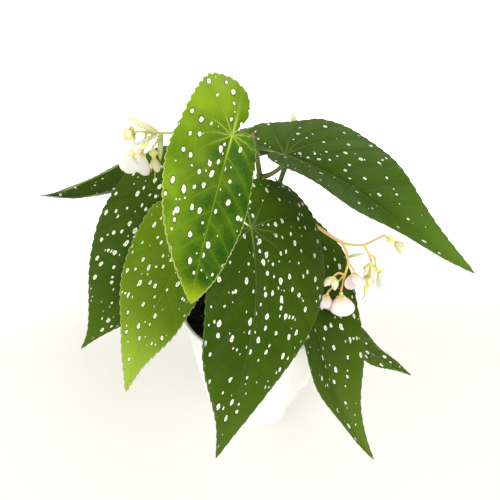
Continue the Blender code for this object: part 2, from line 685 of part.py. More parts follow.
def knob(name, radius, low, high, collection, sides=8):
    """A small egg-shaped body on the bloom's axis, with a flat foot."""
    middle = (low + high) / 2
    points = [(0, 0, low), (0, 0, middle), (0, 0, high)]
    return tube(name, points, [radius * 0.6, radius, radius * 0.55], 2 if sides == 8 else 1, collection)


def wing(name, spin, width, low, high, collection):
    """A thin fin of the seed case."""

    def shape(u, v):
        out = 0.9 + width * u * np.sin(pi * (0.12 + 0.8 * v))
        angle = radians(spin)
        return np.stack([out * cos(angle), out * sin(angle), low + (high - low) * v], -1)

    return thicken(mapped_sheet(name, 1, 4, shape, collection), TEPAL, collection)


def make_bloom(name, kind, size, collection):
    pieces = []

    def add_tepal(label, length, width, open_angle, cup, spin, lift):
        sizes = (length * size, width * size, open_angle, cup, spin, lift * size)
        pieces.append(tepal(f"{name}_{label}_{spin}", *sizes, collection))

    if kind == "open":
        pieces.append(knob(f"{name}_heart", 2.6 * size, 0, 6 * size, collection))
        for spin in (0, 180):
            add_tepal("wide", 17, 18, 84, 18, spin, 2.2)
        for spin in (90, 270):
            add_tepal("slim", 14, 6, 68, 10, spin, 4.3)
    elif kind == "drooping":
        pieces.append(knob(f"{name}_heart", 2.4 * size, 0, 7 * size, collection))
        for spin in (0, 180):
            add_tepal("wide", 20, 21, 40, 14, spin, 3.0)
    elif kind == "winged":
        pieces.append(knob(f"{name}_seedcase", 2.4 * size, 0, 13 * size, collection))
        for spin in (7, 127, 247):
            pieces.append(wing(f"{name}_wing_{spin}", spin, 5.5 * size, 1, 10 * size, collection))
        for spin in range(20, 380, 90):
            add_tepal("tepal", 10, 7, 42, 10, spin, 11.3)
        pieces.append(knob(f"{name}_husk", 2.3 * size, 12 * size, 30 * size, collection))
    elif kind == "fading":
        pieces.append(knob(f"{name}_seedcase", 2.2 * size, 0, 9 * size, collection))
        for spin in (13, 133, 253):
            pieces.append(wing(f"{name}_wing_{spin}", spin, 3.5 * size, 1, 6.3 * size, collection))
        for spin in (60, 180, 300):
            add_tepal("tepal", 14, 5.5, 22, -8, spin, 7)
    else:
        pieces.append(knob(f"{name}_foot", 1.5 * size, 0, 3 * size, collection, sides=6))
        for tilt in (-0.5, 0.5):
            shell = [(0.6 * tilt, 0, 1), (6 * tilt * size, 0, 6 * size), (10 * tilt * size, 0, 11 * size)]
            pieces.append(tube(f"{name}_shell_{tilt}", shell, [1.4, 3.4, 0.8], 2, collection))
    return fuse(name, pieces, collection)


def place_bloom(bloom, spray, index, facing, spin):
    """Stand the bloom on the end of its branch, turned to face its own way."""
    points, radii = branch(spray, index)
    facing = Vector(facing).normalized()
    end = Vector(points[-1]) + facing * (radii[-1] * 0.7 + SEAT)
    bloom.rotation_mode = "QUATERNION"
    turn = Matrix.Rotation(radians(spin), 3, "Z").to_quaternion()
    bloom.rotation_quaternion = facing.to_track_quat("Z", "Y") @ turn
    bloom.location = end * MM


def main():
    clear_scene()
    plant = new_collection("potted_cane_begonia")
    cutters = new_collection("cutters")
    materials = make_materials()
    finish(make_pot(plant, cutters), materials["pot_plastic"])
    finish(make_soil(plant, cutters), materials["potting_mix"])
    for name in CANES:
        finish(make_cane(name, plant), materials["cane_bark"])
    for name, leaf in LEAVES.items():
        finish(make_leaf(name, leaf, plant), materials[LEAF_COLOUR.get(name, "leaf_dark")])
    for name in SPRAYS:
        finish(make_spray(name, plant), materials["spray_stalk"])
    for name, (kind, (spray, index), facing, spin, size) in BLOOMS.items():
        bloom = make_bloom(name, kind, size, plant)
        place_bloom(bloom, spray, index, facing, spin)
        finish(bloom, materials["tepal_white"])


main()
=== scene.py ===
import json
from math import cos, pi, radians, sin, tau

import bmesh
import bpy
import numpy as np
from mathutils import Matrix, Vector

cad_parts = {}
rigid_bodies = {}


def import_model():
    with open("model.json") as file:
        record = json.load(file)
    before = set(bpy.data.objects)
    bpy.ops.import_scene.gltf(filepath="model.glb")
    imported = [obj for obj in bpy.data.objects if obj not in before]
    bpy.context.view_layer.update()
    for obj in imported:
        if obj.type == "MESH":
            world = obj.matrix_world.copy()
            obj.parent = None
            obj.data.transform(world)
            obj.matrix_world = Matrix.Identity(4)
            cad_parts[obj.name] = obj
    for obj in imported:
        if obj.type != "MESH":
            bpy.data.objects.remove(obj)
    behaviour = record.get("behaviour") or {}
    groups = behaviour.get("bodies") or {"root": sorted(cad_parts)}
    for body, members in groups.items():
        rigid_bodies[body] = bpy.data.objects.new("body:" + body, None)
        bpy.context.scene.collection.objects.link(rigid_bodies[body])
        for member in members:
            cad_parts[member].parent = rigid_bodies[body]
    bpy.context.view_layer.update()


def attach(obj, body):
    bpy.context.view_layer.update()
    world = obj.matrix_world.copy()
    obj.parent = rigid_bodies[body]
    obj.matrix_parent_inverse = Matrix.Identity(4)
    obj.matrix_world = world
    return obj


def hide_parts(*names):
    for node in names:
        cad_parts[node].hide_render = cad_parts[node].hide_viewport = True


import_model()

mm = 0.001
seat = 0.3  # clearance between touching pieces
toCamera = (0.1, -0.6, 0.8)  # roughly, from the plant
print("frame loaded")


# Eased step: 0 below low, 1 above high
def ease(low, high, value):
    share = np.clip((value - low) / (high - low), 0, 1)
    return share * share * (3 - 2 * share)


# Vectors of length one along the last axis
def unit(vectors):
    return vectors / np.maximum(np.linalg.norm(vectors, axis=-1, keepdims=True), 1e-9)


# Catmull-Rom curve through the points, sampled evenly along its length
def through(points, count):
    knots = np.array(points, float)
    knots = np.vstack([2 * knots[0] - knots[1], knots, 2 * knots[-1] - knots[-2]])
    spans = len(points) - 1
    t = np.linspace(0, spans, spans * 12 + 1)
    index = np.minimum(t.astype(int), spans - 1)
    u = (t - index)[:, None]
    a, b, c, d = (knots[index + step] for step in range(4))
    curve = 0.5 * (2 * b + (c - a) * u + (2 * a - 5 * b + 4 * c - d) * u**2 + (3 * b - a - 3 * c + d) * u**3)
    reach = np.concatenate([[0], np.cumsum(np.linalg.norm(np.diff(curve, axis=0), axis=1))])
    even = np.linspace(0, reach[-1], count)
    return np.stack([np.interp(even, reach, curve[:, axis]) for axis in range(curve.shape[1])], axis=-1)


# Smooth waves in the plane, the sum of sines turned by the golden angle; about -1 to 1
def ripple(x, y, pitch, phase=0.0):
    total = 0
    for step in range(5):
        turn = 2.4 * step + phase
        grow = 1 + 0.37 * step
        total = total + np.sin((x * cos(turn) + y * sin(turn)) * tau * grow / pitch + 1.7 * step + phase) / grow
    return total / 2.2


# Smooth hump of height one about a middle
def hump(value, middle, width):
    return np.exp(-(((value - middle) / width) ** 2))


# Steps of v down the rows and of u across the columns of a grid, each from 0 to 1
def gridSteps(rows, columns):
    v, u = np.meshgrid(np.linspace(0, 1, rows), np.linspace(0, 1, columns), indexing="ij")
    return v.ravel(), u.ravel()


# Quads of a rows x columns grid of points; closed joins each row's end to its start
def gridQuads(rows, columns, start=0, closed=False):
    row, column = np.meshgrid(np.arange(rows - 1), np.arange(columns if closed else columns - 1), indexing="ij")
    after = (column + 1) % columns
    quads = np.stack([row * columns + column, row * columns + after, (row + 1) * columns + after,
                      (row + 1) * columns + column], -1)
    return quads.reshape(-1, 4) + start


# Normal at each point: the sum of its faces' normals, which are crosses of their diagonals
def pointNormals(points, quads, tris):
    normals = np.zeros_like(points)
    for faces in (quads, tris):
        if len(faces):
            last = faces[:, 3] if faces.shape[1] == 4 else faces[:, 0]
            face = np.cross(points[faces[:, 2]] - points[faces[:, 0]], points[last] - points[faces[:, 1]])
            for corner in range(faces.shape[1]):
                np.add.at(normals, faces[:, corner], face)
    return unit(normals)


# Closed thin sheet: the points, the same points moved back along their normals, and a band round the border
def closedSheet(points, quads, tris, border, thickness, plan, slot=0):
    count = len(points)
    normals = pointNormals(points, quads, tris)
    low = points - normals * np.broadcast_to(thickness, count)[:, None]
    after = np.roll(border, -1)
    band = np.stack([after, border, border + count, after + count], 1)
    back = plan.copy()
    plan = np.column_stack([plan, np.zeros(count)])
    back = np.column_stack([back, np.ones(count)])
    return dict(points=np.vstack([points, low]), quads=np.vstack([quads, quads[:, ::-1] + count, band]),
                tris=np.vstack([tris, tris[:, ::-1] + count]), plan=np.vstack([plan, back]), slot=slot)


# Thin leaf, tepal or fin from a function of u and v, 0 to 1; plan keeps u, v and the distance from the border
def sheetPart(shape, columns, rows, thickness, slot=0):
    v, u = gridSteps(rows, columns)
    index = np.arange(rows * columns).reshape(rows, columns)
    border = np.concatenate([index[0, :-1], index[:-1, -1], index[-1, :0:-1], index[:0:-1, 0]])
    edge = np.minimum(np.minimum(u, 1 - u) * 2, 1 - v)
    return closedSheet(shape(u, v), gridQuads(rows, columns), np.zeros((0, 3), int), border,
                       thickness * (0.35 + 0.65 * ease(0, 0.3, edge)), np.stack([u, v, edge], 1), slot)


# Rings closed at both ends by a point: a solid of revolution or a bar
def ringSolid(rings, first, last, plan, slot=0):
    count, sides = rings.shape[:2]
    points = np.vstack([rings.reshape(-1, 3), first, last])
    around = np.arange(sides)
    after = (around + 1) % sides
    head = np.stack([np.full(sides, count * sides), after, around], 1)
    tail = np.stack([np.full(sides, count * sides + 1), around + (count - 1) * sides, after + (count - 1) * sides], 1)
    plan = np.vstack([np.repeat(plan, sides, axis=0), plan[0], plan[-1]])
    return dict(points=points, quads=gridQuads(count, sides, closed=True), tris=np.vstack([head, tail]),
                plan=np.column_stack([plan, np.zeros(len(plan))]), slot=slot)


# Rings about the upright axis; the radius may change round a ring
def uprightRings(radii, heights, angle):
    radii = np.broadcast_to(radii, (len(heights), len(angle)))
    return np.stack([radii * np.cos(angle), radii * np.sin(angle), np.repeat(heights[:, None], len(angle), 1)], -1)


# Round bar: circles of the given radii square to the path, domed at both ends; plan keeps distance along,
# share along and radius
def barPart(path, radii, sides, slot=0, dome=1.0):
    path, radii = np.asarray(path, float), np.asarray(radii, float)
    ahead = unit(np.gradient(path, axis=0))
    spare = np.linalg.svd(ahead, full_matrices=True)[2][-1]
    turn = np.radians([78, 52, 26])
    head = path[0] - ahead[0] * (dome * radii[0] * np.sin(turn))[:, None]
    tail = path[-1] + ahead[-1] * (dome * radii[-1] * np.sin(turn[::-1]))[:, None]
    middle = np.vstack([head, path, tail])
    width = np.concatenate([radii[0] * np.cos(turn), radii, radii[-1] * np.cos(turn[::-1])])
    ahead = np.vstack([np.repeat(ahead[:1], 3, 0), ahead, np.repeat(ahead[-1:], 3, 0)])
    across = unit(np.cross(ahead, spare))
    lift = np.cross(ahead, across)
    angle = np.linspace(0, tau, sides, endpoint=False)
    rings = middle[:, None] + width[:, None, None] * (
        across[:, None] * np.cos(angle)[None, :, None] + lift[:, None] * np.sin(angle)[None, :, None])
    along = np.concatenate([[0], np.cumsum(np.linalg.norm(np.diff(middle, axis=0), axis=1))])
    plan = np.stack([along, along / along[-1], width], 1)
    return ringSolid(rings, path[0] - ahead[0] * dome * radii[0], path[-1] + ahead[-1] * dome * radii[-1], plan, slot)


# Solid of revolution about the pot's axis, from radii and heights going up the outside
def turnedPart(radii, heights, sectors, slot=0):
    angle = np.linspace(0, tau, sectors, endpoint=False)
    rings = uprightRings(radii[:, None], heights, angle)
    plan = np.stack([heights, radii, np.zeros(len(radii))], 1)
    return ringSolid(rings, [0, 0, heights[0]], [0, 0, heights[-1]], plan, slot)


# Turns and moves a part
def placed(part, matrix, offset):
    part["points"] = part["points"] @ np.array(matrix).T + np.array(offset, float)
    return part


# New object in the scene
def newObject(name, data):
    piece = bpy.data.objects.new(name, data)
    bpy.context.scene.collection.objects.link(piece)
    return piece


# One piece from closed parts; points go in as metres, and plan and side are kept for the materials
def makePiece(name, parts, skins, *nodes):
    corners, sizes, slots, start = [], [], [], 0
    for part in parts:
        for faces in (part["quads"], part["tris"]):
            if len(faces):
                corners.append((faces + start).ravel())
                sizes.append(np.full(len(faces), faces.shape[1]))
                slots.append(np.full(len(faces), part["slot"]))
        start += len(part["points"])
    sizes = np.concatenate(sizes)
    corners = np.concatenate(corners)
    mesh = bpy.data.meshes.new(name)
    for skin in skins:
        mesh.materials.append(skin)
    mesh.vertices.add(start)
    mesh.vertices.foreach_set("co", (np.vstack([part["points"] for part in parts]) * mm).ravel())
    mesh.loops.add(len(corners))
    mesh.loops.foreach_set("vertex_index", corners)
    mesh.polygons.add(len(sizes))
    mesh.polygons.foreach_set("loop_start", np.concatenate([[0], np.cumsum(sizes)[:-1]]))
    mesh.polygons.foreach_set("material_index", np.concatenate(slots))
    mesh.update(calc_edges=True)
    mesh.validate()
    plan = np.vstack([part["plan"] for part in parts])
    mark = mesh.attributes.new("plan", "FLOAT_VECTOR", "POINT")
    mark.data.foreach_set("vector", np.ascontiguousarray(plan[:, :3]).ravel())
    side = mesh.attributes.new("side", "FLOAT", "POINT")
    side.data.foreach_set("value", np.ascontiguousarray(plan[:, 3]))
    mesh.shade_smooth()
    piece = newObject(name, mesh)
    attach(piece, "root")
    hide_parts(*nodes)
    return piece


# Node with its settings and inputs, each a plain value or a wire from another node
def addNode(tree, kind, inputs=None, **settings):
    node = tree.nodes.new(kind)
    for key, value in settings.items():
        setattr(node, key, value)
    for key, value in (inputs or {}).items():
        if isinstance(value, Wire):
            tree.links.new(value.socket, node.inputs[key])
        else:
            node.inputs[key].default_value = value
    return node


# A shader node's output that adds, multiplies and compares like a number, each step being one more node
class Wire:
    def __init__(self, tree, socket):
        self.tree, self.socket = tree, socket

    def after(self, kind, inputs, output=0, **settings):
        return Wire(self.tree, addNode(self.tree, kind, inputs, **settings).outputs[output])

    def math(self, operation, first, second=0.0):
        return self.after("ShaderNodeMath", {0: first, 1: second}, operation=operation)

    def __add__(self, other):
        return self.math("ADD", self, other)

    def __sub__(self, other):
        return self.math("SUBTRACT", self, other)

    def __rsub__(self, other):
        return self.math("SUBTRACT", other, self)

    def __mul__(self, other):
        return self.math("MULTIPLY", self, other)

    def __truediv__(self, other):
        return self.math("DIVIDE", self, other)

    def __rtruediv__(self, other):
        return self.math("DIVIDE", other, self)

    def __gt__(self, other):
        return self.math("GREATER_THAN", self, other)

    def __lt__(self, other):
        return self.math("LESS_THAN", self, other)

    def __abs__(self):
        return self.math("ABSOLUTE", self)

    def most(self, other):
        return self.math("MAXIMUM", self, other)

    # Ramp from one value to another as this goes from low to high, eased unless another way is given
    def fade(self, low, high, atLow=0.0, atHigh=1.0, way="SMOOTHSTEP"):
        ends = {"Value": self, "From Min": low, "From Max": high, "To Min": atLow, "To Max": atHigh}
        return self.after("ShaderNodeMapRange", ends, "Result", interpolation_type=way)

    # The same ramp from one down to nothing
    def fall(self, low, high):
        return self.fade(low, high, 1.0, 0.0)

    # The three numbers of a vector or, with kind Color, of a colour
    def parts(self, kind="XYZ"):
        node = addNode(self.tree, "ShaderNodeSeparate" + kind, {0: self})
        return [Wire(self.tree, socket) for socket in node.outputs]

    # Vector added to or multiplied by another, number by number
    def vector(self, operation, other):
        return self.after("ShaderNodeVectorMath", {0: self, 1: other}, operation=operation)

    def noise(self, scale, detail, output="Fac"):
        return self.after("ShaderNodeTexNoise", {"Vector": self, "Scale": scale, "Detail": detail}, output)

    # Scattered cells: distance from the middle or the edge of the nearest one, and its random colour
    def cells(self, scale, feature="F1", space="3D"):
        node = addNode(self.tree, "ShaderNodeTexVoronoi", {"Vector": self, "Scale": scale},
                       feature=feature, voronoi_dimensions=space)
        return Wire(self.tree, node.outputs[0]), Wire(self.tree, node.outputs[1])


# Two colours mixed by a share
def blend(share, first, second):
    return share.after("ShaderNodeMix", {0: share, 6: first, 7: second}, 2, data_type="RGBA")


# Values kept on the mesh by makePiece
def meshMark(tree, name, output="Vector"):
    return Wire(tree, addNode(tree, "ShaderNodeAttribute", attribute_name=name).outputs[output])


# Object coordinates
def placeOf(tree):
    return Wire(tree, addNode(tree, "ShaderNodeTexCoord").outputs["Object"])


# Empty shader group that takes the named colours and numbers; returns it with a wire for each of them
def newGroup(name, colours, numbers):
    group = bpy.data.node_groups.new(name, "ShaderNodeTree")
    sockets = [(label, "INPUT", "Color") for label in colours.split()]
    sockets += [(label, "INPUT", "Float") for label in numbers.split()]
    sockets += [("Colour", "OUTPUT", "Color"), ("Roughness", "OUTPUT", "Float"), ("Height", "OUTPUT", "Float")]
    for label, way, kind in sockets:
        group.interface.new_socket(name=label, in_out=way, socket_type="NodeSocket" + kind)
    return group, {socket.name: Wire(group, socket) for socket in group.nodes.new("NodeGroupInput").outputs}


# Joins a pattern's results to its group's outputs
def sealGroup(group, colour, roughness, height):
    ends = group.nodes.new("NodeGroupOutput").inputs
    for label, wire in (("Colour", colour), ("Roughness", roughness), ("Height", height)):
        group.links.new(wire.socket, ends[label])
    return group


# How veins leave the midrib, in leaf lengths: spacing on each half, and the fan behind the petiole in radians
veins = dict(bend=1.1, slant=0.75, wideSpacing=0.14, narrowSpacing=0.12, cell=0.105, fanStart=0.9273, fanStep=0.541,
             drift=0.05)
spots = dict(stretch=0.62, wobble=1.6, edge=(-0.15, 0.2), ring=(0.4, 1.0), ringShare=0.8, middleFrom=1.2,
             middle=(0.3, 0.85), middleShare=0.8, middleColour=(0.20, 0.23, 0.15, 1.0),
             sizes=((1.0, 0.75, 1.0, 1.65), (0.7, 0.26, 0.55, 0.95), (0.5, 0.12, 0.3, 0.5)))
toothTip = (0.05, 0.035, 0.015, 1.0)


# Veins, spots and colours of a blade, read from plan: x and y in leaf lengths and the share of the way to the
# margin. Ahead of a line slanted from the petiole the side veins leave the midrib at even spacing; behind it
# they fan out from the petiole.
def leafPattern():
    colours = "blade deep vein heart glow spot ring margin underside tip"
    numbers = "length tipStart tipRamp spotCell spotShare spotSize veinShare glowShare foldShare toothShare"
    group, given = newGroup("leafPattern", colours, numbers)
    plan, under = meshMark(group, "plan"), meshMark(group, "side", "Fac")
    x, y, reach = plan.parts()
    side = abs(y)
    ahead = x - y * y * veins["bend"] + (plan.noise(1.8, 1.0) - 0.5) * veins["drift"]
    slant = ahead - side * veins["slant"]
    front = slant > 0.0
    spacing = (y > 0.0) * (veins["wideSpacing"] - veins["narrowSpacing"]) + veins["narrowSpacing"]
    fan = (side.math("ARCTAN2", side, ahead) - veins["fanStart"]) / veins["fanStep"]
    phase = front * (slant / spacing) + (1.0 - front) * fan
    off = abs(phase - phase.math("ROUND", phase))
    square = x * x + y * y
    radius = square.math("SQRT", square)
    gap = off * (front * veins["cell"] + (1.0 - front) * radius * veins["fanStep"]) * given["length"]
    rib = side * given["length"]
    taper = radius.fade(0.0, 0.9, 1.0, 0.35)
    vein = ((gap / taper).fall(0.1, 0.6) * side.fade(0.02, 0.3, 0.7, 0.25)).most((rib / taper).fall(0.35, 0.95))
    near = gap.math("MINIMUM", gap, rib) / taper
    heart = radius.fall(0.01, 0.2)

    # Fine net between the veins, and mottling, in millimetres on the flat blade
    flat = plan.vector("MULTIPLY", given["length"]).vector("MULTIPLY", (1.0, 1.0, 0.0))
    net = flat.cells(0.36, "DISTANCE_TO_EDGE")[0].fall(0.0, 0.14)
    grain = flat.noise(0.9, 3.0)
    cloud = flat.noise(0.045, 2.0)

    # Three sizes of spots in scattered cells: share of the cell's width, share of cells that have one, and least
    # and greatest radius. Each has a thin dark ring, and a large one has a grey middle.
    wobble = flat.noise(0.3, 0.5, "Color").vector("MULTIPLY", (spots["wobble"],) * 3)
    spread = flat.vector("MULTIPLY", (spots["stretch"], 1.0, 0.0)).vector("ADD", wobble)
    marks = []
    for share, often, least, greatest in spots["sizes"]:
        cell = given["spotCell"] * share
        distance, colour = spread.cells(1.0 / cell, space="2D")
        lot = colour.parts("Color")[0]
        wanted = 1.0 - given["spotShare"] * often
        size = lot.fade(wanted, 1.0, least, greatest, "LINEAR")
        there = lot > wanted
        away = distance * cell
        over = away - size * given["spotSize"]
        marks.append((there * over.fall(*spots["edge"]), there * over.fade(*spots["ring"], share**3, 0.0),
                      (size > spots["middleFrom"]) * away.fall(*spots["middle"])))
    clear = reach.fall(0.93, 0.985) * radius.fade(0.03, 0.07) * rib.fade(0.8, 2.2)
    spot, ring, middle = (large.most(medium).most(small) * clear for large, medium, small in zip(*marks))

    # Tone between the deep and blade greens: the cloud is mottling of the leaf's own colour; the lighter back lobe
    # and lighter wide half are partly its own colour and partly painted light
    toneAndPaintedLight = x.fade(0.05, -0.2) * 0.25 + y.fade(-0.1, 0.3) * 0.25 + cloud * 0.4
    shade = blend(toneAndPaintedLight.fade(0.14, 0.68), given["deep"], given["blade"])
    # Painted shade in the creases near the veins and midrib on the dark leaves; on the young leaf the same band is a
    # lighter tint of its own
    shade = blend(near.fall(0.0, 7.0) * given["glowShare"], shade, given["glow"])
    shade = blend(((x - given["tipStart"]) / given["tipRamp"]).fade(-1.0, 1.0), shade, given["tip"])
    shade = blend(net * 0.08, shade, given["vein"])
    shade = blend(ring * spots["ringShare"], shade, given["ring"])
    shade = blend(vein * given["veinShare"], shade, given["vein"])
    shade = blend(vein.most(near.fall(0.0, 2.5) * 0.2) * heart, shade, given["heart"])
    shade = blend(spot, shade, given["spot"])
    shade = blend(middle * spots["middleShare"], shade, spots["middleColour"])
    fold = (y < 0.0) * (reach + cloud * 0.1).fade(0.96, 1.0) * x.fall(0.7, 0.9)
    shade = blend(fold * given["foldShare"], shade, given["underside"])
    shade = blend(reach.fade(0.98, 0.997), shade, given["margin"])
    shade = blend(reach.fade(1.008, 1.02) * given["toothShare"], shade, toothTip)
    pale = blend(vein.most(net * 0.3) * 0.45, given["underside"], given["heart"])
    shade = blend(under.fade(0.35, 0.6), shade, pale)
    height = grain * 0.25 - net * 0.3 - vein * 0.6 + spot * 0.25
    return sealGroup(group, shade, grain * 0.14 + spot * 0.1 + 0.38, height)


# Skin of a cane, petiole or stalk: streaks along it, freckles and a change of colour from foot to tip
def stalkPattern():
    group, given = newGroup("stalkPattern", "foot tip freckle", "freckles grain")
    share = meshMark(group, "plan").parts()[1]
    place = placeOf(group)
    streak = place.vector("MULTIPLY", (1400.0, 1400.0, 260.0)).noise(given["grain"], 3.0)
    distance, colour = place.cells(520.0)
    dot = distance.fall(0.16, 0.3) * (colour.parts("Color")[0] > 0.62)
    shade = blend(share + (place.noise(90.0, 2.0) - 0.5) * 0.5, given["foot"], given["tip"])
    shade = blend(streak.fade(0.3, 0.75, 0.0, 0.45), shade, given["freckle"])
    shade = blend(dot * given["freckles"], shade, given["freckle"])
    return sealGroup(group, shade, streak.fade(0.2, 0.8, 0.38, 0.6), streak + dot * 0.4)


# Skin of a tepal, bract or fin: faint veins along it, a tint from the root and a darker rim
def tepalPattern():
    group, given = newGroup("tepalPattern", "root face rim line", "lines rimShare")
    across, along, inward = meshMark(group, "plan").parts()
    drift = placeOf(group).noise(300.0, 2.0)
    lane = (across * 11.0 + drift * 0.9) * pi
    line = abs(lane.math("SINE", lane)).fall(0.0, 0.35)
    shade = blend((along + (drift - 0.5) * 0.5).fade(0.05, 0.6), given["root"], given["face"])
    shade = blend(line * given["lines"], shade, given["line"])
    shade = blend(inward.fall(0.02, 0.14) * given["rimShare"], shade, given["rim"])
    return sealGroup(group, shade, drift.fade(0.2, 0.8, 0.4, 0.6), drift - line * 0.5)


patterns = {"leaf": leafPattern(), "stalk": stalkPattern(), "tepal": tepalPattern()}


# New material, its node tree and its shader
def newSkin(name):
    skin = bpy.data.materials.new(name)
    skin.use_nodes = True
    return skin, skin.node_tree, skin.node_tree.nodes["Principled BSDF"]


# Joins a colour, a roughness and a relief this many millimetres high to a shader
def dressShader(tree, shader, colour, roughness, height, relief, strength=1.0):
    bump = addNode(tree, "ShaderNodeBump", {"Height": height, "Distance": relief * mm, "Strength": strength})
    tree.links.new(colour.socket, shader.inputs["Base Color"])
    tree.links.new(roughness.socket, shader.inputs["Roughness"])
    tree.links.new(bump.outputs[0], shader.inputs["Normal"])


# Material whose colour, roughness and height come from a pattern; some light passes through where clear is set
def patternSkin(name, pattern, values, relief, gloss, clear=0.0):
    skin, tree, shader = newSkin(name)
    source = tree.nodes.new("ShaderNodeGroup")
    source.node_tree = patterns[pattern]
    for label, value in values.items():
        source.inputs[label].default_value = (*value, 1.0) if isinstance(value, tuple) else value
    colour, roughness, height = (Wire(tree, source.outputs[label]) for label in ("Colour", "Roughness", "Height"))
    dressShader(tree, shader, colour, roughness, height, relief)
    shader.inputs["Specular IOR Level"].default_value = gloss
    if clear:
        glow = colour.after("ShaderNodeBsdfTranslucent", {"Color": colour})
        mix = glow.after("ShaderNodeMixShader", {0: clear, 1: Wire(tree, shader.outputs[0]), 2: glow})
        tree.links.new(mix.socket, tree.nodes["Material Output"].inputs["Surface"])
    return skin


print("materials ready")

pot = dict(height=138.0, rimRadius=76.0, footRadius=58.0, wall=1.5, floor=2.4, roll=3.6, sectors=320, feet=4,
           scoopDepth=8.0, scoopFull=20.0, scoopTop=50.0, scoopArc=54.0, scoopEdge=8.0, scoopAngle=-34.0,
           slotAngle=-17.0, slotWidth=6.0, slotLow=10.0, slotHigh=34.0, slotCut=15.0, slotRound=1.6,
           white=(0.93, 0.92, 0.90, 1.0), flow=(0.88, 0.87, 0.84, 1.0), low=(0.72, 0.71, 0.66, 1.0),
           dust=(0.55, 0.50, 0.42, 1.0))


# Outer radius of the pot's wall, narrower at the foot than under the rim
def wallRadius(height):
    return pot["footRadius"] + (pot["rimRadius"] - pot["roll"] / 2 - pot["footRadius"]) * height / pot["height"]


# Pulls the wall inwards in the scoops between the feet: the depth times an eased share across the scoop and
# an eased share down from its top
def stepIn(points):
    angle = np.degrees(np.arctan2(points[:, 1], points[:, 0]))
    turn = 360.0 / pot["feet"]
    off = np.abs((angle - pot["scoopAngle"] + turn / 2) % turn - turn / 2)
    radius = np.hypot(points[:, 0], points[:, 1])
    across = ease(0, pot["scoopEdge"], pot["scoopArc"] / 2 - off)
    upward = ease(pot["scoopTop"], pot["scoopFull"], points[:, 2])
    outer = ease(0.55 * pot["footRadius"], 0.95 * pot["footRadius"], radius)
    points[:, :2] *= (1 - pot["scoopDepth"] * across * upward * outer / np.maximum(radius, 1))[:, None]
    return points


# Pot shell turned from a profile: underside, outer wall, rolled lip on a part circle, inner wall and floor,
# then scooped in between its feet
def potPart():
    lip = pot["height"] - pot["roll"]
    top, rim, roll, wall, low = pot["height"], pot["rimRadius"], pot["roll"], pot["wall"], pot["floor"]
    outside = [(pot["footRadius"] - 1.0, 0), (pot["footRadius"] - 0.3, 0.3), (pot["footRadius"], 1.0)]
    outside += [(wallRadius(h), h) for h in np.linspace(3.5, pot["scoopTop"], 20)]
    outside += [(wallRadius(h), h) for h in np.linspace(pot["scoopTop"] + 4, lip - 2.2, 18)]
    outside += [(wallRadius(lip - 1) + 0.1, lip - 1.2), (wallRadius(lip) + 0.5, lip - 0.6), (rim - 0.7, lip - 0.1)]
    turn = np.radians(np.linspace(-40, 180, 14))
    curl = [(rim - roll * 0.42 + roll * 0.42 * cos(a), top - roll * 0.42 + roll * 0.42 * sin(a)) for a in turn]
    inside = [(wallRadius(h) - wall, h) for h in np.linspace(lip, pot["scoopTop"] + 4, 18)]
    inside += [(wallRadius(h) - wall, h) for h in np.linspace(pot["scoopTop"], low + 1.2, 20)]
    inside += [(wallRadius(low) - wall - 0.5, low + 0.15), (wallRadius(0) - wall - 1.4, low)]
    floor = [(r, low) for r in (48, 38, 26, 14, 6, 1)]
    under = [(r, 0.0) for r in (1, 6, 14, 26, 38, 48, 54)]
    profile = np.array(under + outside + curl + inside + floor, float)
    part = turnedPart(profile[:, 0], profile[:, 1], pot["sectors"])
    part["points"] = stepIn(part["points"])
    return part


# Slot openings: rounded boxes taken out of the wall, their size and place from the pot's values
def cutSlots(piece):
    cutters = bpy.data.collections.new("slotCutters")
    bpy.context.scene.collection.children.link(cutters)
    middle = (pot["slotLow"] + pot["slotHigh"]) / 2
    for index in range(pot["feet"]):
        angle = radians(pot["slotAngle"] + index * 360.0 / pot["feet"])
        body = bmesh.new()
        bmesh.ops.create_cube(body, size=1.0)
        size = (pot["slotCut"] * mm, pot["slotWidth"] * mm, (pot["slotHigh"] - pot["slotLow"]) * mm)
        bmesh.ops.scale(body, vec=size, verts=body.verts)
        sides = [edge for edge in body.edges if abs(edge.verts[0].co.x - edge.verts[1].co.x) > 0.5 * size[0]]
        bmesh.ops.bevel(body, geom=sides, offset=pot["slotRound"] * mm, segments=4, affect="EDGES", profile=0.5)
        reach = (wallRadius(middle) - pot["wall"] / 2 - 0.8 * pot["scoopDepth"]) * mm
        body.transform(Matrix.Translation((reach * cos(angle), reach * sin(angle), middle * mm))
                       @ Matrix.Rotation(angle, 4, "Z"))
        mesh = bpy.data.meshes.new("slotCutter")
        body.to_mesh(mesh)
        body.free()
        cutters.objects.link(bpy.data.objects.new(f"slotCutter{index}", mesh))
    cut = piece.modifiers.new("slots", "BOOLEAN")
    cut.operand_type, cut.collection, cut.solver = "COLLECTION", cutters, "EXACT"
    bpy.context.view_layer.update()
    result = bpy.data.meshes.new_from_object(piece.evaluated_get(bpy.context.evaluated_depsgraph_get()))
    piece.modifiers.clear()
    piece.data = result
    result.name = piece.name
    for cutter in list(cutters.objects):
        bpy.data.objects.remove(cutter, do_unlink=True)
    bpy.data.collections.remove(cutters)
    piece.data.shade_smooth()
    piece.data.set_sharp_from_angle(angle=radians(42))


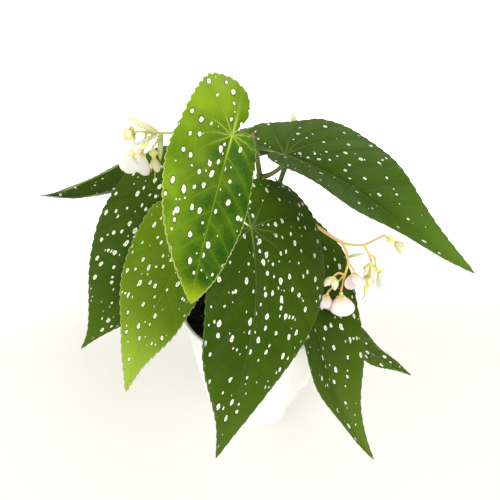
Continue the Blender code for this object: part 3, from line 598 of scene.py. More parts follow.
# White plastic: faint flow marks and dust, a little greyer low down
def potSkin():
    skin, tree, shader = newSkin("whitePlastic")
    place = placeOf(tree)
    flow = place.vector("MULTIPLY", (1.0, 1.0, 0.25)).noise(45.0, 3.0)
    speck = place.noise(900.0, 2.0)
    shade = blend(flow.fade(0.3, 0.75), pot["flow"], pot["white"])
    shade = blend(place.parts()[2].fade(0.0, 0.03, 0.25, 0.0), shade, pot["low"])
    shade = blend(speck.fade(0.68, 0.78, 0.0, 0.35), shade, pot["dust"])
    dressShader(tree, shader, shade, flow.fade(0.2, 0.8, 0.3, 0.42), speck, 0.05, 0.5)
    return skin


potPiece = makePiece("potShell", [potPart()], [potSkin()], "pot")
cutSlots(potPiece)
print("pot made")

soil = dict(level=124.0, lump=3.0, rings=70, sectors=220, granules=620, granuleSize=(0.9, 2.6), largeEvery=9,
            largeGrow=1.7, spreadShare=0.93, seed=7, dark=(0.006, 0.006, 0.003, 1.0),
            brown=(0.035, 0.024, 0.013, 1.0), fleck=(0.16, 0.12, 0.075, 1.0), deep=(0.003, 0.003, 0.002, 1.0))


# Height of the mix above its level: broad swells and small lumps
def soilHeight(x, y):
    return soil["lump"] * (0.45 * ripple(x, y, 70, 0.4) + 0.25 * ripple(x, y, 19, 1.9)) + 0.45 * ripple(x, y, 6, 3.1)


# Closed plug with an uneven top, and granules of bark and peat half sunk in it
def soilParts():
    gap = pot["wall"] + seat + 0.2
    edge = wallRadius(soil["level"]) - gap
    low = pot["floor"] + seat
    side = [(1, low), (30, low), (wallRadius(low) - gap - 0.6, low)]
    side += [(wallRadius(h) - gap, h) for h in np.linspace(6, pot["scoopTop"], 14)]
    side += [(wallRadius(h) - gap, h) for h in np.linspace(pot["scoopTop"] + 8, soil["level"], 8)]
    top = [(edge * (1 - share), soil["level"]) for share in np.linspace(0, 0.985, soil["rings"])[1:]]
    profile = np.array(side + top, float)
    plug = turnedPart(profile[:, 0], profile[:, 1], soil["sectors"])
    points = stepIn(plug["points"])
    inner = ease(edge, edge - 6, np.hypot(points[:, 0], points[:, 1])) * (points[:, 2] > soil["level"] - 1)
    points[:, 2] += inner * soilHeight(points[:, 0], points[:, 1])
    chance = np.random.default_rng(soil["seed"])
    parts = [plug]
    for index in range(soil["granules"]):
        spin, far = chance.uniform(0, tau), edge * np.sqrt(chance.uniform(0, soil["spreadShare"]))
        x, y = far * cos(spin), far * sin(spin)
        size = chance.uniform(*soil["granuleSize"]) * (soil["largeGrow"] if index % soil["largeEvery"] == 0 else 1.0)
        angle = np.linspace(0, tau, 7, endpoint=False)
        tilt = np.radians([-58, -20, 20, 58])
        rough = chance.uniform(0.72, 1.15, (4, 7, 1))
        rings = uprightRings(np.cos(tilt)[:, None], np.sin(tilt), angle) * rough
        lump = ringSolid(rings, [0, 0, -0.95], [0, 0, 0.95], np.zeros((4, 3)) + index)
        squash = np.diag(size * chance.uniform([0.9, 0.5, 0.35], [1.5, 0.9, 0.7]))
        turn = Matrix.Rotation(chance.uniform(0, tau), 3, "Z") @ Matrix.Rotation(chance.uniform(-0.5, 0.5), 3, "X")
        lift = soil["level"] + soilHeight(x, y) * ease(edge, edge - 6, far) + 0.15 * size
        parts.append(placed(lump, np.array(turn) @ squash, (x, y, lift)))
    return parts


# Dark peat and bark: near-black crumbs with brown and a few pale flecks
def soilSkin():
    skin, tree, shader = newSkin("darkPeat")
    place = placeOf(tree)
    distance, colour = place.cells(420.0)
    brown, pale = colour.parts("Color")[:2]
    fine = place.noise(1200.0, 4.0)
    shade = blend(brown, soil["dark"], soil["brown"])
    shade = blend(pale > 0.94, shade, soil["fleck"])
    shade = blend(fine.fade(0.35, 0.7, 0.5, 0.0), shade, soil["deep"])
    dressShader(tree, shader, shade, fine.fade(0.2, 0.8, 0.8, 1.0), fine * 0.8 - distance, 0.9)
    shader.inputs["Specular IOR Level"].default_value = 0.2
    return skin


soilPiece = makePiece("pottingMix", soilParts(), [soilSkin()], "soil")
print("potting mix made")

cane = dict(foot=70.0, radius=3.5, taper=0.38, swell=0.7, reach=5.0, sides=22, scar=0.32, scarRise=1.6, scarWidth=0.7,
            groove=0.28, grooveWidth=0.6, budLength=5.5, budRadius=1.95, scaleWidth=3.2, stipuleWidth=3.4,
            stipuleOut=5.0, stipuleRise=12.0)
scrap = dict(cane="cane_right", reach=(-3, 2, 13), width=6.0, arch=0.3)
caneRoutes = {  # foot in the mix, then each joint in turn
    "cane_front": [(0, 8), (1, 14, 165), (3, 20, 192), (4, 24, 222), (2, 27, 262), (-3, 14, 307)],
    "cane_right": [(14, 27), (16, 32, 158), (18, 40, 196), (20, 48, 232), (26, 58, 252), (34, 80, 278)],
    "cane_left": [(-18, 24), (-25, 33, 178), (-34, 42, 207), (-39, 47, 222), (-44, 51, 236), (-53, 54, 266)],
}


# Points along a cane, upright to the soil's surface and then through its joints
def caneAxis(name):
    route = caneRoutes[name]
    curve = through([(*route[0], soil["level"] + 6)] + route[1:], 200)
    return np.vstack([[(*route[0], cane["foot"])], [(*route[0], soil["level"])], curve])


# Radius of a cane at a height: a slow taper, swollen at each joint
def caneRadius(name, height):
    route = caneRoutes[name]
    share = (height - cane["foot"]) / (route[-1][2] - cane["foot"])
    swell = sum(hump(height, joint[2], cane["reach"] * 0.7) for joint in route[1:])
    return cane["radius"] * (1 - cane["taper"] * share) + cane["swell"] * swell


# Where a stalk of this radius starts just off a cane's side, and its level heading to a point
def caneSide(name, height, toward, radius):
    axis = caneAxis(name)
    below, middle, above = (np.array([np.interp(level, axis[:, 2], axis[:, side]) for side in range(3)])
                            for level in (height - 2, height, height + 2))
    away = np.array(toward, float) - middle
    away[2] = 0
    away /= np.linalg.norm(away)
    lean = abs(np.dot(above - below, away)) / np.linalg.norm(above - below)
    reach = (caneRadius(name, height) + seat + 0.1 + 0.7 * radius * lean) / np.sqrt(1 - lean**2)
    return middle + away * reach, away


# Small pointed scale or bract from root to end, its broad side towards face; it is arched by a share of its
# length and hollowed along its middle
def leafletPart(root, end, width, arch=0.18, thickness=0.35, slot=1, face=(0.2, 0.5, 0.8)):
    root, along = np.array(root, float), np.array(end, float) - np.array(root, float)
    across = unit(np.cross(along, face))
    lift = unit(np.cross(across, along))

    def shape(u, v):
        half = width * np.sin(pi * (0.2 + 0.78 * v)) ** 0.8 * (u - 0.5)
        rise = arch * np.linalg.norm(along) * np.sin(pi * v) - 1.2 * half**2 / width + 0.12 * np.sin(9 * v + 4 * u)
        return root + v[:, None] * along + half[:, None] * across + rise[:, None] * lift

    return sheetPart(shape, 11, 18, thickness, slot)


# A cane with a ring scar over a groove at each joint, a dried bud in scales at its top and dried stipules; one
# cane also bears the scrap
def caneParts(name):
    joints = [joint[2] for joint in caneRoutes[name][1:]]
    axis = caneAxis(name)
    up = unit(axis[-1] - axis[-8])
    axis = np.vstack([axis, axis[-1] + up * cane["reach"] * 0.5])
    heights = np.linspace(cane["foot"], axis[-1, 2], 230)
    path = np.stack([np.interp(heights, axis[:, 2], axis[:, side]) for side in range(3)], 1)
    radii = caneRadius(name, heights)
    for joint in joints:
        radii = radii + cane["scar"] * hump(heights, joint + cane["scarRise"], cane["scarWidth"])
        radii = radii - cane["groove"] * hump(heights, joint, cane["grooveWidth"])
    tip = path[-1]
    length = cane["budLength"]
    share = np.linspace(-0.18, 1, 18)
    stray = np.cross(up, (0, 0.3, 1)) * 1.4 * np.maximum(share[:, None], 0) ** 2
    budPath = tip + up * length * share[:, None] + stray
    parts = [barPart(path, radii, cane["sides"], dome=0.6),
             barPart(budPath, cane["budRadius"] * (1 - 0.72 * np.maximum(share, 0) ** 1.7), 14, slot=1)]
    for turn in (40, 160, 280):  # scales that clasp the bud
        out = np.array([cos(radians(turn)), sin(radians(turn)), 0])
        end = tip + out * 1.1 + up * length * 0.9
        parts.append(leafletPart(tip + out * 1.5 - up, end, cane["scaleWidth"], 0.18, 0.25))
    for index, joint in enumerate(caneRoutes[name][2:-1]):
        turn = radians(137.5 * index - 10)
        out = np.array([cos(turn), sin(turn), 0])
        root = np.array(joint) + out * 2.0
        end = root + out * cane["stipuleOut"] + (0, 0, cane["stipuleRise"])
        parts.append(leafletPart(root, end, cane["stipuleWidth"]))
    if name == scrap["cane"]:  # pale scrap that shows over the large leaf
        parts.append(leafletPart(tip, tip + scrap["reach"], scrap["width"], scrap["arch"], slot=2, face=toCamera))
    return parts


caneSkin = patternSkin("caneBark", "stalk", dict(foot=(0.085, 0.105, 0.018), tip=(0.080, 0.130, 0.016),
                       freckle=(0.06, 0.05, 0.018), freckles=0.6, grain=1.0), 0.12, 0.35)
scaleSkin = patternSkin("driedScale", "tepal", dict(root=(0.16, 0.055, 0.018), face=(0.34, 0.19, 0.09),
                        rim=(0.10, 0.06, 0.03), line=(0.22, 0.15, 0.07), lines=0.5, rimShare=0.7), 0.08,
                        0.25, 0.15)
scrapSkin = patternSkin("paleScrap", "tepal", dict(root=(0.30, 0.33, 0.10), face=(0.62, 0.64, 0.34),
                        rim=(0.40, 0.30, 0.14), line=(0.45, 0.44, 0.18), lines=0.4, rimShare=0.5), 0.08,
                        0.25, 0.2)
for name in caneRoutes:
    skins = [caneSkin, scaleSkin, scrapSkin]
    makePiece(name.replace("cane_", "cane.") + ".stem", caneParts(name), skins, name)
print("canes made")

# Unit outline from petiole to tip, x along the midrib, y to each side
wideSide = [
    (-0.045, -0.030), (-0.14, -0.075), (-0.27, -0.035), (-0.335, 0.075), (-0.315, 0.215),
    (-0.17, 0.295), (0.03, 0.335), (0.21, 0.345), (0.40, 0.305), (0.58, 0.235),
    (0.75, 0.145), (0.89, 0.060), (1.0, 0.0),
]
narrowSide = [
    (-0.035, 0.042), (-0.04, 0.085), (-0.01, 0.135), (0.07, 0.175), (0.22, 0.20),
    (0.38, 0.205), (0.54, 0.185), (0.70, 0.14), (0.84, 0.080), (1.0, 0.0),
]
blade = dict(wideShare=0.6, backDroop=25.0, camber=0.5, taperHub=0.35, thickness=0.55, wave=1.2, waves=7, teeth=64,
             tooth=1.6, quilt=0.7, groove=0.5, grooveWidth=1.7, grain=0.18, grainPitch=7.0, petioleRadius=1.9,
             petioleArm=14.0, petioleStray=0.5, petioleAim=0.2, petioleInset=2.6, petioleDepth=1.5,
             fineGrid=(321, 42), plainGrid=(209, 28))
leaves = {  # place, angles and shape of each leaf, and the cane joint that bears it
    "leaf_young": dict(
        at=(-19, -35.6, 341.6), heading=-109, dip=37, roll=-31, droop=43.5,
        fold=4, length=132, width=0.92, taper=0.18, shoulder=0.06, point=-0.1,
        sweep=-0.09, hook=-0.02, lobe=1.1, back=44, tooth=1.2, side=-1, cane="cane_front", joint=5, fine=True),
    "leaf_centre": dict(
        at=(-5.6, -39.3, 258.9), heading=-78.5, dip=29.5, roll=-21.5, droop=43,
        fold=5, length=182.5, width=1.12, taper=-0.06, shoulder=-0.29, point=0.4,
        sweep=-0.28, hook=0.09, lobe=0.76, back=21.5, side=1, cane="cane_front", joint=3, fine=True),
    "leaf_left_light": dict(
        at=(-52.8, -3.9, 224.9), heading=-129, dip=34, roll=-4, droop=23,
        fold=4.5, length=158, width=1.02, taper=-0.2, shoulder=0.52, point=0.27,
        sweep=-0.05, hook=-0.01, lobe=0.52, back=26.5, tooth=1.8, side=-1, cane="cane_left", joint=2, fine=True),
    "leaf_left_dark": dict(
        at=(-73.6, 42.1, 224.3), heading=-127.5, dip=37, roll=-16, droop=28,
        fold=5.5, length=179, width=1.01, taper=-0.1, shoulder=0, point=0.5,
        sweep=0.09, hook=0.05, lobe=0.74, back=25, side=-1, cane="cane_left", joint=3, fine=True),
    "leaf_far_left": dict(
        at=(-76.3, 119.2, 202.9), heading=178.5, dip=21.5, roll=3, droop=-17,
        fold=36, length=181, width=0.97, taper=-0.6, shoulder=0, point=0.5,
        sweep=0.04, hook=-0.15, lobe=0.6, back=25, side=1, cane="cane_left", joint=4, fine=True),
    "leaf_right_large": dict(
        at=(22.7, 25.9, 285.4), heading=-42.5, dip=-8, roll=0.5, droop=21,
        fold=23, length=188.5, width=0.79, taper=-0.08, shoulder=1, point=0.24,
        sweep=-0.27, hook=0.15, lobe=0.78, back=0, side=1, cane="cane_front", joint=4, fine=True),
    "leaf_right_low": dict(
        at=(35.9, -23.7, 199.7), heading=-61, dip=51.5, roll=-20.5, droop=-14,
        fold=23, length=187, width=0.86, taper=0.04, shoulder=0.46, point=0.5,
        sweep=-0.15, hook=0.15, lobe=0.7, back=19.5, side=1, cane="cane_front", joint=2, fine=True),
    "leaf_right_small": dict(
        at=(69, -19.4, 146.3), heading=-28, dip=49, roll=-16.5, droop=-25,
        fold=8, length=119.5, width=0.68, taper=0.03, shoulder=0, point=0.22,
        sweep=-0.1, hook=-0.02, lobe=0.5, back=25, side=-1, cane="cane_front", joint=1, fine=False),
    "leaf_back_top": dict(
        at=(-24, 72, 262), heading=110, dip=14, roll=-5, droop=41, fold=8, length=135, width=1.0,
        sweep=-0.036, lobe=0.65, side=-1, cane="cane_left", joint=5, fine=False),
    "leaf_back_left": dict(
        at=(-60, 96, 187), heading=131, dip=24, roll=10, droop=46, fold=8, length=158, width=1.0,
        sweep=-0.08, lobe=0.65, side=-1, cane="cane_left", joint=1, fine=False),
    "leaf_back_right": dict(
        at=(68, 91, 239), heading=43, dip=12, roll=-14, droop=57, fold=8, length=136, width=1.0,
        sweep=0.0, lobe=0.65, side=1, cane="cane_right", joint=4, fine=False),
    "leaf_back_centre": dict(
        at=(10, 90, 178), heading=108, dip=18, roll=10, droop=41, fold=8, length=129, width=1.0,
        sweep=0.0, lobe=0.65, side=1, cane="cane_right", joint=1, fine=False),
}
# The colour used beside the veins is painted shade in their creases on the dark leaves, and a lighter tint along them
# on the young leaf
dark = dict(
    blade=(0.040, 0.080, 0.002), deep=(0.022, 0.052, 0.0), vein=(0.070, 0.120, 0.016), heart=(0.12, 0.18, 0.04),
    glow=(0.018, 0.044, 0.001), spot=(0.66, 0.70, 0.55), ring=(0.020, 0.035, 0.004), margin=(0.06, 0.10, 0.02),
    underside=(0.22, 0.29, 0.11), tip=(0.055, 0.105, 0.006), tipStart=0.75, tipRamp=0.3, spotCell=10.5,
    spotShare=0.8, spotSize=1.0, veinShare=0.45, glowShare=0.4, foldShare=0.0, toothShare=0.4)
light = dict(
    dark, blade=(0.105, 0.190, 0.003), deep=(0.066, 0.128, 0.0), vein=(0.14, 0.22, 0.02), heart=(0.28, 0.38, 0.08),
    glow=(0.075, 0.140, 0.002), spot=(0.70, 0.76, 0.48), ring=(0.045, 0.065, 0.006), margin=(0.30, 0.34, 0.10),
    tip=(0.24, 0.36, 0.03), tipStart=0.70, tipRamp=0.25, glowShare=0.25)
young = dict(
    light, blade=(0.178, 0.290, 0.008), deep=(0.010, 0.048, 0.0), vein=(0.20, 0.31, 0.03), heart=(0.32, 0.44, 0.05),
    glow=(0.085, 0.165, 0.0), spot=(0.76, 0.82, 0.62), margin=(0.34, 0.40, 0.10), tip=(0.26, 0.36, 0.004),
    tipStart=0.9, tipRamp=0.1, spotCell=10.2, spotShare=0.85, spotSize=0.95, veinShare=0.35, glowShare=0.3,
    toothShare=0.9)
leafLooks = {  # a leaf that isn't here is dark
    "leaf_young": young,
    "leaf_centre": dict(dark, spotCell=9.6, spotShare=0.9),
    "leaf_left_light": light,
    "leaf_left_dark": dict(dark, spot=(0.62, 0.68, 0.46), spotCell=9.5, spotSize=1.15),
    "leaf_far_left": dict(dark, tip=(0.28, 0.26, 0.13), foldShare=0.85, spotSize=0.7, tipStart=0.96, tipRamp=0.06),
    "leaf_right_large": dict(dark, blade=(0.048, 0.096, 0.007), deep=(0.030, 0.066, 0.004), tip=(0.075, 0.145, 0.010),
                             vein=(0.085, 0.13, 0.03), spotSize=0.72, spotShare=0.7),
    "leaf_right_low": dict(dark, tip=(0.075, 0.128, 0.010), tipStart=0.6),
    "leaf_right_small": dict(dark, blade=(0.068, 0.112, 0.008), deep=(0.048, 0.086, 0.006)),
}


# Outline point at share u of the margin, from the notch round the wide side to the tip and back
def marginPoint(u):
    wide, narrow, steps = through(wideSide, 240), through(narrowSide, 240), np.linspace(0, 1, 240)
    onWide = u <= blade["wideShare"] + 1e-6
    share = np.where(onWide, u / blade["wideShare"], (1 - u) / (1 - blade["wideShare"]))
    x = np.where(onWide, np.interp(share, steps, wide[:, 0]), np.interp(share, steps, narrow[:, 0]))
    y = np.where(onWide, np.interp(share, steps, wide[:, 1]), -np.interp(share, steps, narrow[:, 1]))
    return x, y


# Turn of a leaf: heading about the upright, then dip, then roll about the midrib
def leafTurn(leaf):
    return np.array(Matrix.Rotation(radians(leaf["heading"]), 3, "Z") @ Matrix.Rotation(radians(leaf["dip"]), 3, "Y")
                    @ Matrix.Rotation(radians(leaf["roll"]), 3, "X"))


# Blade point in the leaf's own plane: x along the midrib, shortened behind the petiole, and the distance from
# it, made broader or slimmer by the leaf's width, taper, shoulder and point
def leafPlane(leaf, x, y):
    part = x / leaf["length"]
    broad = 1 + leaf.get("taper", 0) * (np.maximum(part, 0) - blade["taperHub"])
    broad = broad * (1 + leaf.get("shoulder", 0) * np.minimum(part, 0))
    broad = broad * (1 - leaf.get("point", 0) * ease(0.5, 1.0, part))
    return np.where(x < 0, x * leaf["lobe"], x), y * leaf["width"] * broad


# Flat blade point to its place: the midrib turns aside with the square of the way along it and arches down
# to the tip, the halves fold up and curl over
def bendBlade(leaf, x, y):
    length = leaf["length"]
    late = np.clip(2 * x / length - 1, 0, 1)
    x, half = leafPlane(leaf, x, y)
    curve = leaf["sweep"] * (np.maximum(x, 0) / length) ** 2 + leaf.get("hook", 0) * late**2
    steps = np.linspace(0, 1.05, 200) * length
    slope = radians(leaf["droop"]) * (steps / length) ** 1.3
    pace = np.diff(steps)
    run = np.concatenate([[0], np.cumsum((np.cos(slope[1:]) + np.cos(slope[:-1])) / 2 * pace)])
    drop = np.concatenate([[0], np.cumsum((np.sin(slope[1:]) + np.sin(slope[:-1])) / 2 * pace)])
    ahead, behind = np.maximum(x, 0), np.minimum(x, 0)
    along = np.interp(ahead, steps, run) + behind
    back = radians(leaf.get("back", blade["backDroop"]))
    height = -np.interp(ahead, steps, drop) - back * behind**2 / (0.66 * length)
    tilt = np.interp(ahead, steps, slope)
    rise = np.abs(half) * sin(radians(leaf["fold"])) - blade["camber"] * half**2 / length
    outward = leaf["side"] * (half + curve * length) * cos(radians(leaf["fold"]))
    local = np.stack([along + rise * np.sin(tilt), outward, height + rise * np.cos(tilt)], -1)
    return local @ leafTurn(leaf).T + np.array(leaf["at"], float)


# Relief of the blade in millimetres: swells between the side veins and sinks along the midrib
def bladeRelief(x, y, reach, length):
    ahead, side = x - veins["bend"] * y**2, np.abs(y)
    slant = ahead - veins["slant"] * side
    fan = (np.arctan2(side, ahead) - veins["fanStart"]) / veins["fanStep"]
    spacing = np.where(y > 0, veins["wideSpacing"], veins["narrowSpacing"])
    phase = np.where(slant > 0, slant / spacing, fan)
    radius = np.hypot(x, y)
    room = np.where(slant > 0, 1.0, np.minimum(radius / 0.16, 1.0)) * np.minimum(side / 0.06, 1.0)
    swell = blade["quilt"] * np.abs(np.sin(pi * phase)) ** 0.6 * room * (1 - 0.75 * ease(0.7, 1.0, reach))
    groove = blade["groove"] * hump(side * length, 0, blade["grooveWidth"]) * (1 - 0.7 * np.clip(x, 0, 1))
    grain = blade["grain"] * ripple(x * length, y * length, blade["grainPitch"]) * (1 - 0.5 * reach)
    return swell - groove + grain


# Blade: rays of points from the petiole to a toothed margin, bent, waved and given its relief; in plan the tips
# of the teeth lie a little past the margin
def bladePart(leaf):
    columns, rows = blade["fineGrid"] if leaf["fine"] else blade["plainGrid"]
    length = leaf["length"]
    v, u = (steps[columns:] for steps in gridSteps(rows, columns))  # without the row at the petiole
    x, y = marginPoint(u)
    cycle = (u * blade["teeth"]) % 1.0
    saw = np.where(u < blade["wideShare"], np.minimum(cycle / 0.72, (1 - cycle) / 0.28),
                   np.minimum(cycle / 0.28, (1 - cycle) / 0.72))
    calm = ease(0.0, 0.03, u) * ease(1.0, 0.97, u) * ease(0.0, 0.012, np.abs(u - blade["wideShare"]))
    grow = 1 + blade["tooth"] * leaf.get("tooth", 1.0) * saw * calm * ease(0.86, 1.0, v) / length / np.hypot(x, y)
    reach = v**0.85 * grow
    flatX, flatY = x * reach * length, y * reach * length
    points = bendBlade(leaf, flatX, flatY)
    wave = blade["wave"] * v**3 * np.sin(tau * blade["waves"] * u + leaf["heading"])
    points = np.vstack([bendBlade(leaf, np.zeros(1), np.zeros(1)), points + wave[:, None] * leafTurn(leaf)[:, 2]])
    index = 1 + np.arange((rows - 1) * columns).reshape(rows - 1, columns)
    quads = gridQuads(rows - 1, columns, 1)
    tris = np.stack([np.zeros(columns - 1, int), index[0, 1:], index[0, :-1]], 1)
    border = np.concatenate([[0], index[:, -1], index[-1, -2::-1], index[-2::-1, 0]])
    if pointNormals(points, quads, tris).sum(0) @ leafTurn(leaf)[:, 2] < 0:
        quads, tris, border = quads[:, ::-1], tris[:, ::-1], border[::-1]
    planX, planY = (np.concatenate([[0], plan]) / length for plan in leafPlane(leaf, flatX, flatY))
    away = np.concatenate([[0], v + 0.03 * saw * calm * (v > 0.999)])
    relief = bladeRelief(planX, planY, away, length)
    points = points + pointNormals(points, quads, tris) * relief[:, None]
    thickness = blade["thickness"] * (1 - 0.45 * ease(0.8, 1.0, away))
    return closedSheet(points, quads, tris, border, thickness, np.stack([planX, planY, away], 1))


# Petiole: a Bezier from just off its cane joint to the underside of the blade, wider at both ends
def petiolePart(leaf):
    turn = leafTurn(leaf)
    top = bendBlade(leaf, np.array([blade["petioleInset"]]), np.zeros(1))[0]
    height = caneRoutes[leaf["cane"]][leaf["joint"]][2]
    start, away = caneSide(leaf["cane"], height, top, 1.15 * blade["petioleRadius"])
    span = np.linalg.norm(top - start)
    end = top - turn[:, 2] * blade["petioleDepth"]
    t = np.linspace(0, 1, 56)[:, None]
    arm = min(0.30 * span, blade["petioleArm"])
    hold = start + away * blade["petioleStray"] * max(0.30 * span, blade["petioleArm"])
    hold = hold + (end - start) * blade["petioleAim"]
    reach = end - turn[:, 2] * arm - turn[:, 0] * 0.4 * arm
    path = (1 - t) ** 3 * start + 3 * (1 - t) ** 2 * t * hold + 3 * (1 - t) * t**2 * reach + t**3 * end
    t = t[:, 0]
    grow = 1.15 - 0.25 * t + 0.22 * np.exp(-t * span / 3) + 0.10 * np.exp(-(1 - t) * span / 2.5)
    return barPart(path, blade["petioleRadius"] * grow, 16, slot=1, dome=0.35)


petioleSkin = patternSkin("petioleSkin", "stalk", dict(foot=(0.120, 0.140, 0.022), tip=(0.110, 0.165, 0.022),
                          freckle=(0.10, 0.07, 0.03), freckles=0.5, grain=1.2), 0.1, 0.35)
for name, leaf in leaves.items():
    looks = dict(leafLooks.get(name, dark), length=float(leaf["length"]))
    skin = patternSkin(name + "Skin", "leaf", looks, 0.18, 0.05, 0.03)
    piece = makePiece(name.replace("leaf_", "leaf."), [bladePart(leaf), petiolePart(leaf)], [skin, petioleSkin], name)
print("leaves made")

stalk = dict(sides=14, endSwell=0.22, rootSwell=0.15, swellReach=0.125, bractThickness=0.3)
sprayRoots = {"spray_left": ("cane_left", 257.0), "spray_right": ("cane_front", 235.0)}
sprays = {  # branches: points, radius at the start and at the end
    "spray_left": [
        ([(-57.5, 43.5, 259), (-64, 36, 280), (-66, 35, 297), (-72, 33, 302), (-81, 30, 304), (-92, 26, 307)],
         1.7, 1.2),
        ([(-92, 26, 307), (-95, 23, 309.5), (-98, 19, 312)], 1.2, 0.9),
        ([(-92, 26, 307), (-94, 23, 301), (-95.5, 20.5, 296.5)], 1.2, 0.9),
        ([(-81, 30, 304), (-84, 26, 299), (-88, 22, 295)], 1.2, 0.9),
        ([(-87, 28, 305.5), (-89, 16, 306), (-88.8, 7, 308)], 1.0, 0.8),
    ],
    "spray_right": [
        ([(14, 17, 236), (25, 10, 238), (38, 3, 236), (49, -1, 231), (61, -6, 224.5), (75, -12, 218)],
         1.8, 1.4),
        ([(75, -12, 218), (84, -14, 218), (93, -16, 220), (101, -18, 227), (106, -19.5, 232.5), (109, -20.5, 234)],
         1.3, 0.9),
        ([(93, -16, 220), (97, -18, 213), (101, -20, 204)], 1.1, 0.9),
        ([(98, -18.5, 211), (104, -18, 206), (104.9, -23.5, 198.9)], 0.9, 0.8),
        ([(75, -12, 218), (79, -18, 211), (80, -24, 205)], 1.4, 1.1),
        ([(80, -24, 205), (76.5, -32, 196), (73.5, -40, 187)], 1.1, 0.9),
        ([(80, -24, 205), (82.5, -26.5, 203.5), (84.5, -28.5, 202)], 1.0, 0.8),
        ([(76, -31, 198), (71, -32.5, 201.5), (66.9, -36, 201.9)], 1.0, 0.8),
        ([(76, -31, 197), (70, -33, 189), (62, -41.5, 187.4)], 0.9, 0.8),
    ],
}
sprayBracts = {  # root, end, width, arch and skin
    "spray_left": [
        ((-81, 30, 304), (-83, 22, 281), 5.0, 0.18, 1),
        ((-83.5, 28.5, 306), (-105.7, 21, 324.5), 6.5, 0.04, 2),
        ((-83.5, 27.5, 304), (-104.7, 18.5, 297.5), 4.5, 0.08, 3),
    ],
    "spray_right": [((80, -20, 209), (94, -22, 215), 3.0, 0.18, 1)],
}


# Path of one branch; the first one starts at its cane's side
def branchPath(spray, index, count=None):
    points = list(sprays[spray][index][0])
    if index == 0:
        root = caneSide(*sprayRoots[spray], points[0], sprays[spray][index][1])[0]
        points = [tuple(root)] + points
    return through(points, count or 14 * len(points))


# A spray: branches slightly swollen at their ends, and its bracts
def sprayParts(name):
    parts = []
    for index, (points, start, end) in enumerate(sprays[name]):
        path = branchPath(name, index)
        share = np.linspace(0, 1, len(path))
        radii = start + (end - start) * share + stalk["endSwell"] * hump(share, 1, stalk["swellReach"])
        radii = radii + stalk["rootSwell"] * hump(share, 0, stalk["swellReach"])
        parts.append(barPart(path, radii, stalk["sides"], dome=0.5))
    for root, end, width, arch, slot in sprayBracts[name]:
        parts.append(leafletPart(root, end, width, arch, stalk["bractThickness"], slot, toCamera))
    return parts


straw = dict(freckle=(0.46, 0.36, 0.10), freckles=0.3, grain=1.2)
stalkSkins = {
    "spray_left": patternSkin("strawStalk", "stalk", dict(straw, foot=(0.50, 0.56, 0.14), tip=(0.70, 0.70, 0.24)),
                              0.06, 0.3),
    "spray_right": patternSkin("amberStalk", "stalk", dict(straw, foot=(0.62, 0.56, 0.14), tip=(0.78, 0.40, 0.20)),
                               0.06, 0.3),
}
petals = dict(lines=0.35, rimShare=0.5)
bractSkins = [  # bract, pale tepal and dark-edged tepal
    patternSkin("greenBract", "tepal", dict(petals, root=(0.46, 0.56, 0.18), face=(0.66, 0.76, 0.38),
                rim=(0.34, 0.36, 0.13), line=(0.30, 0.40, 0.12)), 0.06, 0.25, 0.25),
    patternSkin("paleTepal", "tepal", dict(petals, root=(0.78, 0.76, 0.34), face=(0.88, 0.86, 0.58),
                rim=(0.62, 0.58, 0.34), line=(0.78, 0.74, 0.40)), 0.06, 0.25, 0.3),
    # White tepal whose dark rim is painted shade along its edge, where it is seen edge-on
    patternSkin("tepalWithPaintedShadeRim", "tepal", dict(petals, root=(0.90, 0.84, 0.68), face=(0.92, 0.90, 0.82),
                rim=(0.16, 0.08, 0.05), line=(0.80, 0.72, 0.62)), 0.06, 0.25, 0.3),
]
for name in sprays:
    skins = [stalkSkins[name], *bractSkins]
    makePiece(name.replace("_", ".") + ".stalk", sprayParts(name), skins, name)
print("sprays made")

blooms = {  # kind, branch that bears it, facing direction, spin about it, size
    "bloom_left_large": ("drooping", ("spray_left", 2), (-0.35, -0.75, -0.55), 20, 1.1),
    "bloom_left_upper": ("open", ("spray_left", 1), (-0.75, -0.60, 0.08), 70, 0.98),
    "bloom_left_faded": ("fading", ("spray_left", 3), (0.05, -0.35, -0.94), 10, 1.0),
    "bloom_left_small": ("fading", ("spray_left", 4), (-0.65, -0.70, -0.30), 0, 0.8),
    "bloom_right_tip": ("fading", ("spray_right", 1), (0.70, -0.50, -0.25), 0, 1.0),
    "bloom_right_winged": ("winged", ("spray_right", 2), (-0.12, -0.45, -0.88), 30, 1.0),
    "bloom_right_outer": ("drooping", ("spray_right", 3), (0.70, -0.50, -0.50), 100, 1.0),
    "bloom_heart_back": ("drooping", ("spray_right", 8), (-0.30, -0.65, -0.70), 95, 0.68),
    "bloom_heart_front": ("drooping", ("spray_right", 5), (0.05, -0.72, -0.70), 95, 1.0),
    "bloom_right_upper": ("drooping", ("spray_right", 6), (0.05, -0.75, -0.50), 60, 0.75),
    "bloom_right_small": ("bud", ("spray_right", 7), (-0.40, -0.70, -0.60), 0, 1.0),
}
blushing = ("bloom_heart_front", "bloom_heart_back", "bloom_right_upper")
bloomForm = dict(tepalThickness=0.28, finThickness=0.3, sink=0.2, gloss=0.3)
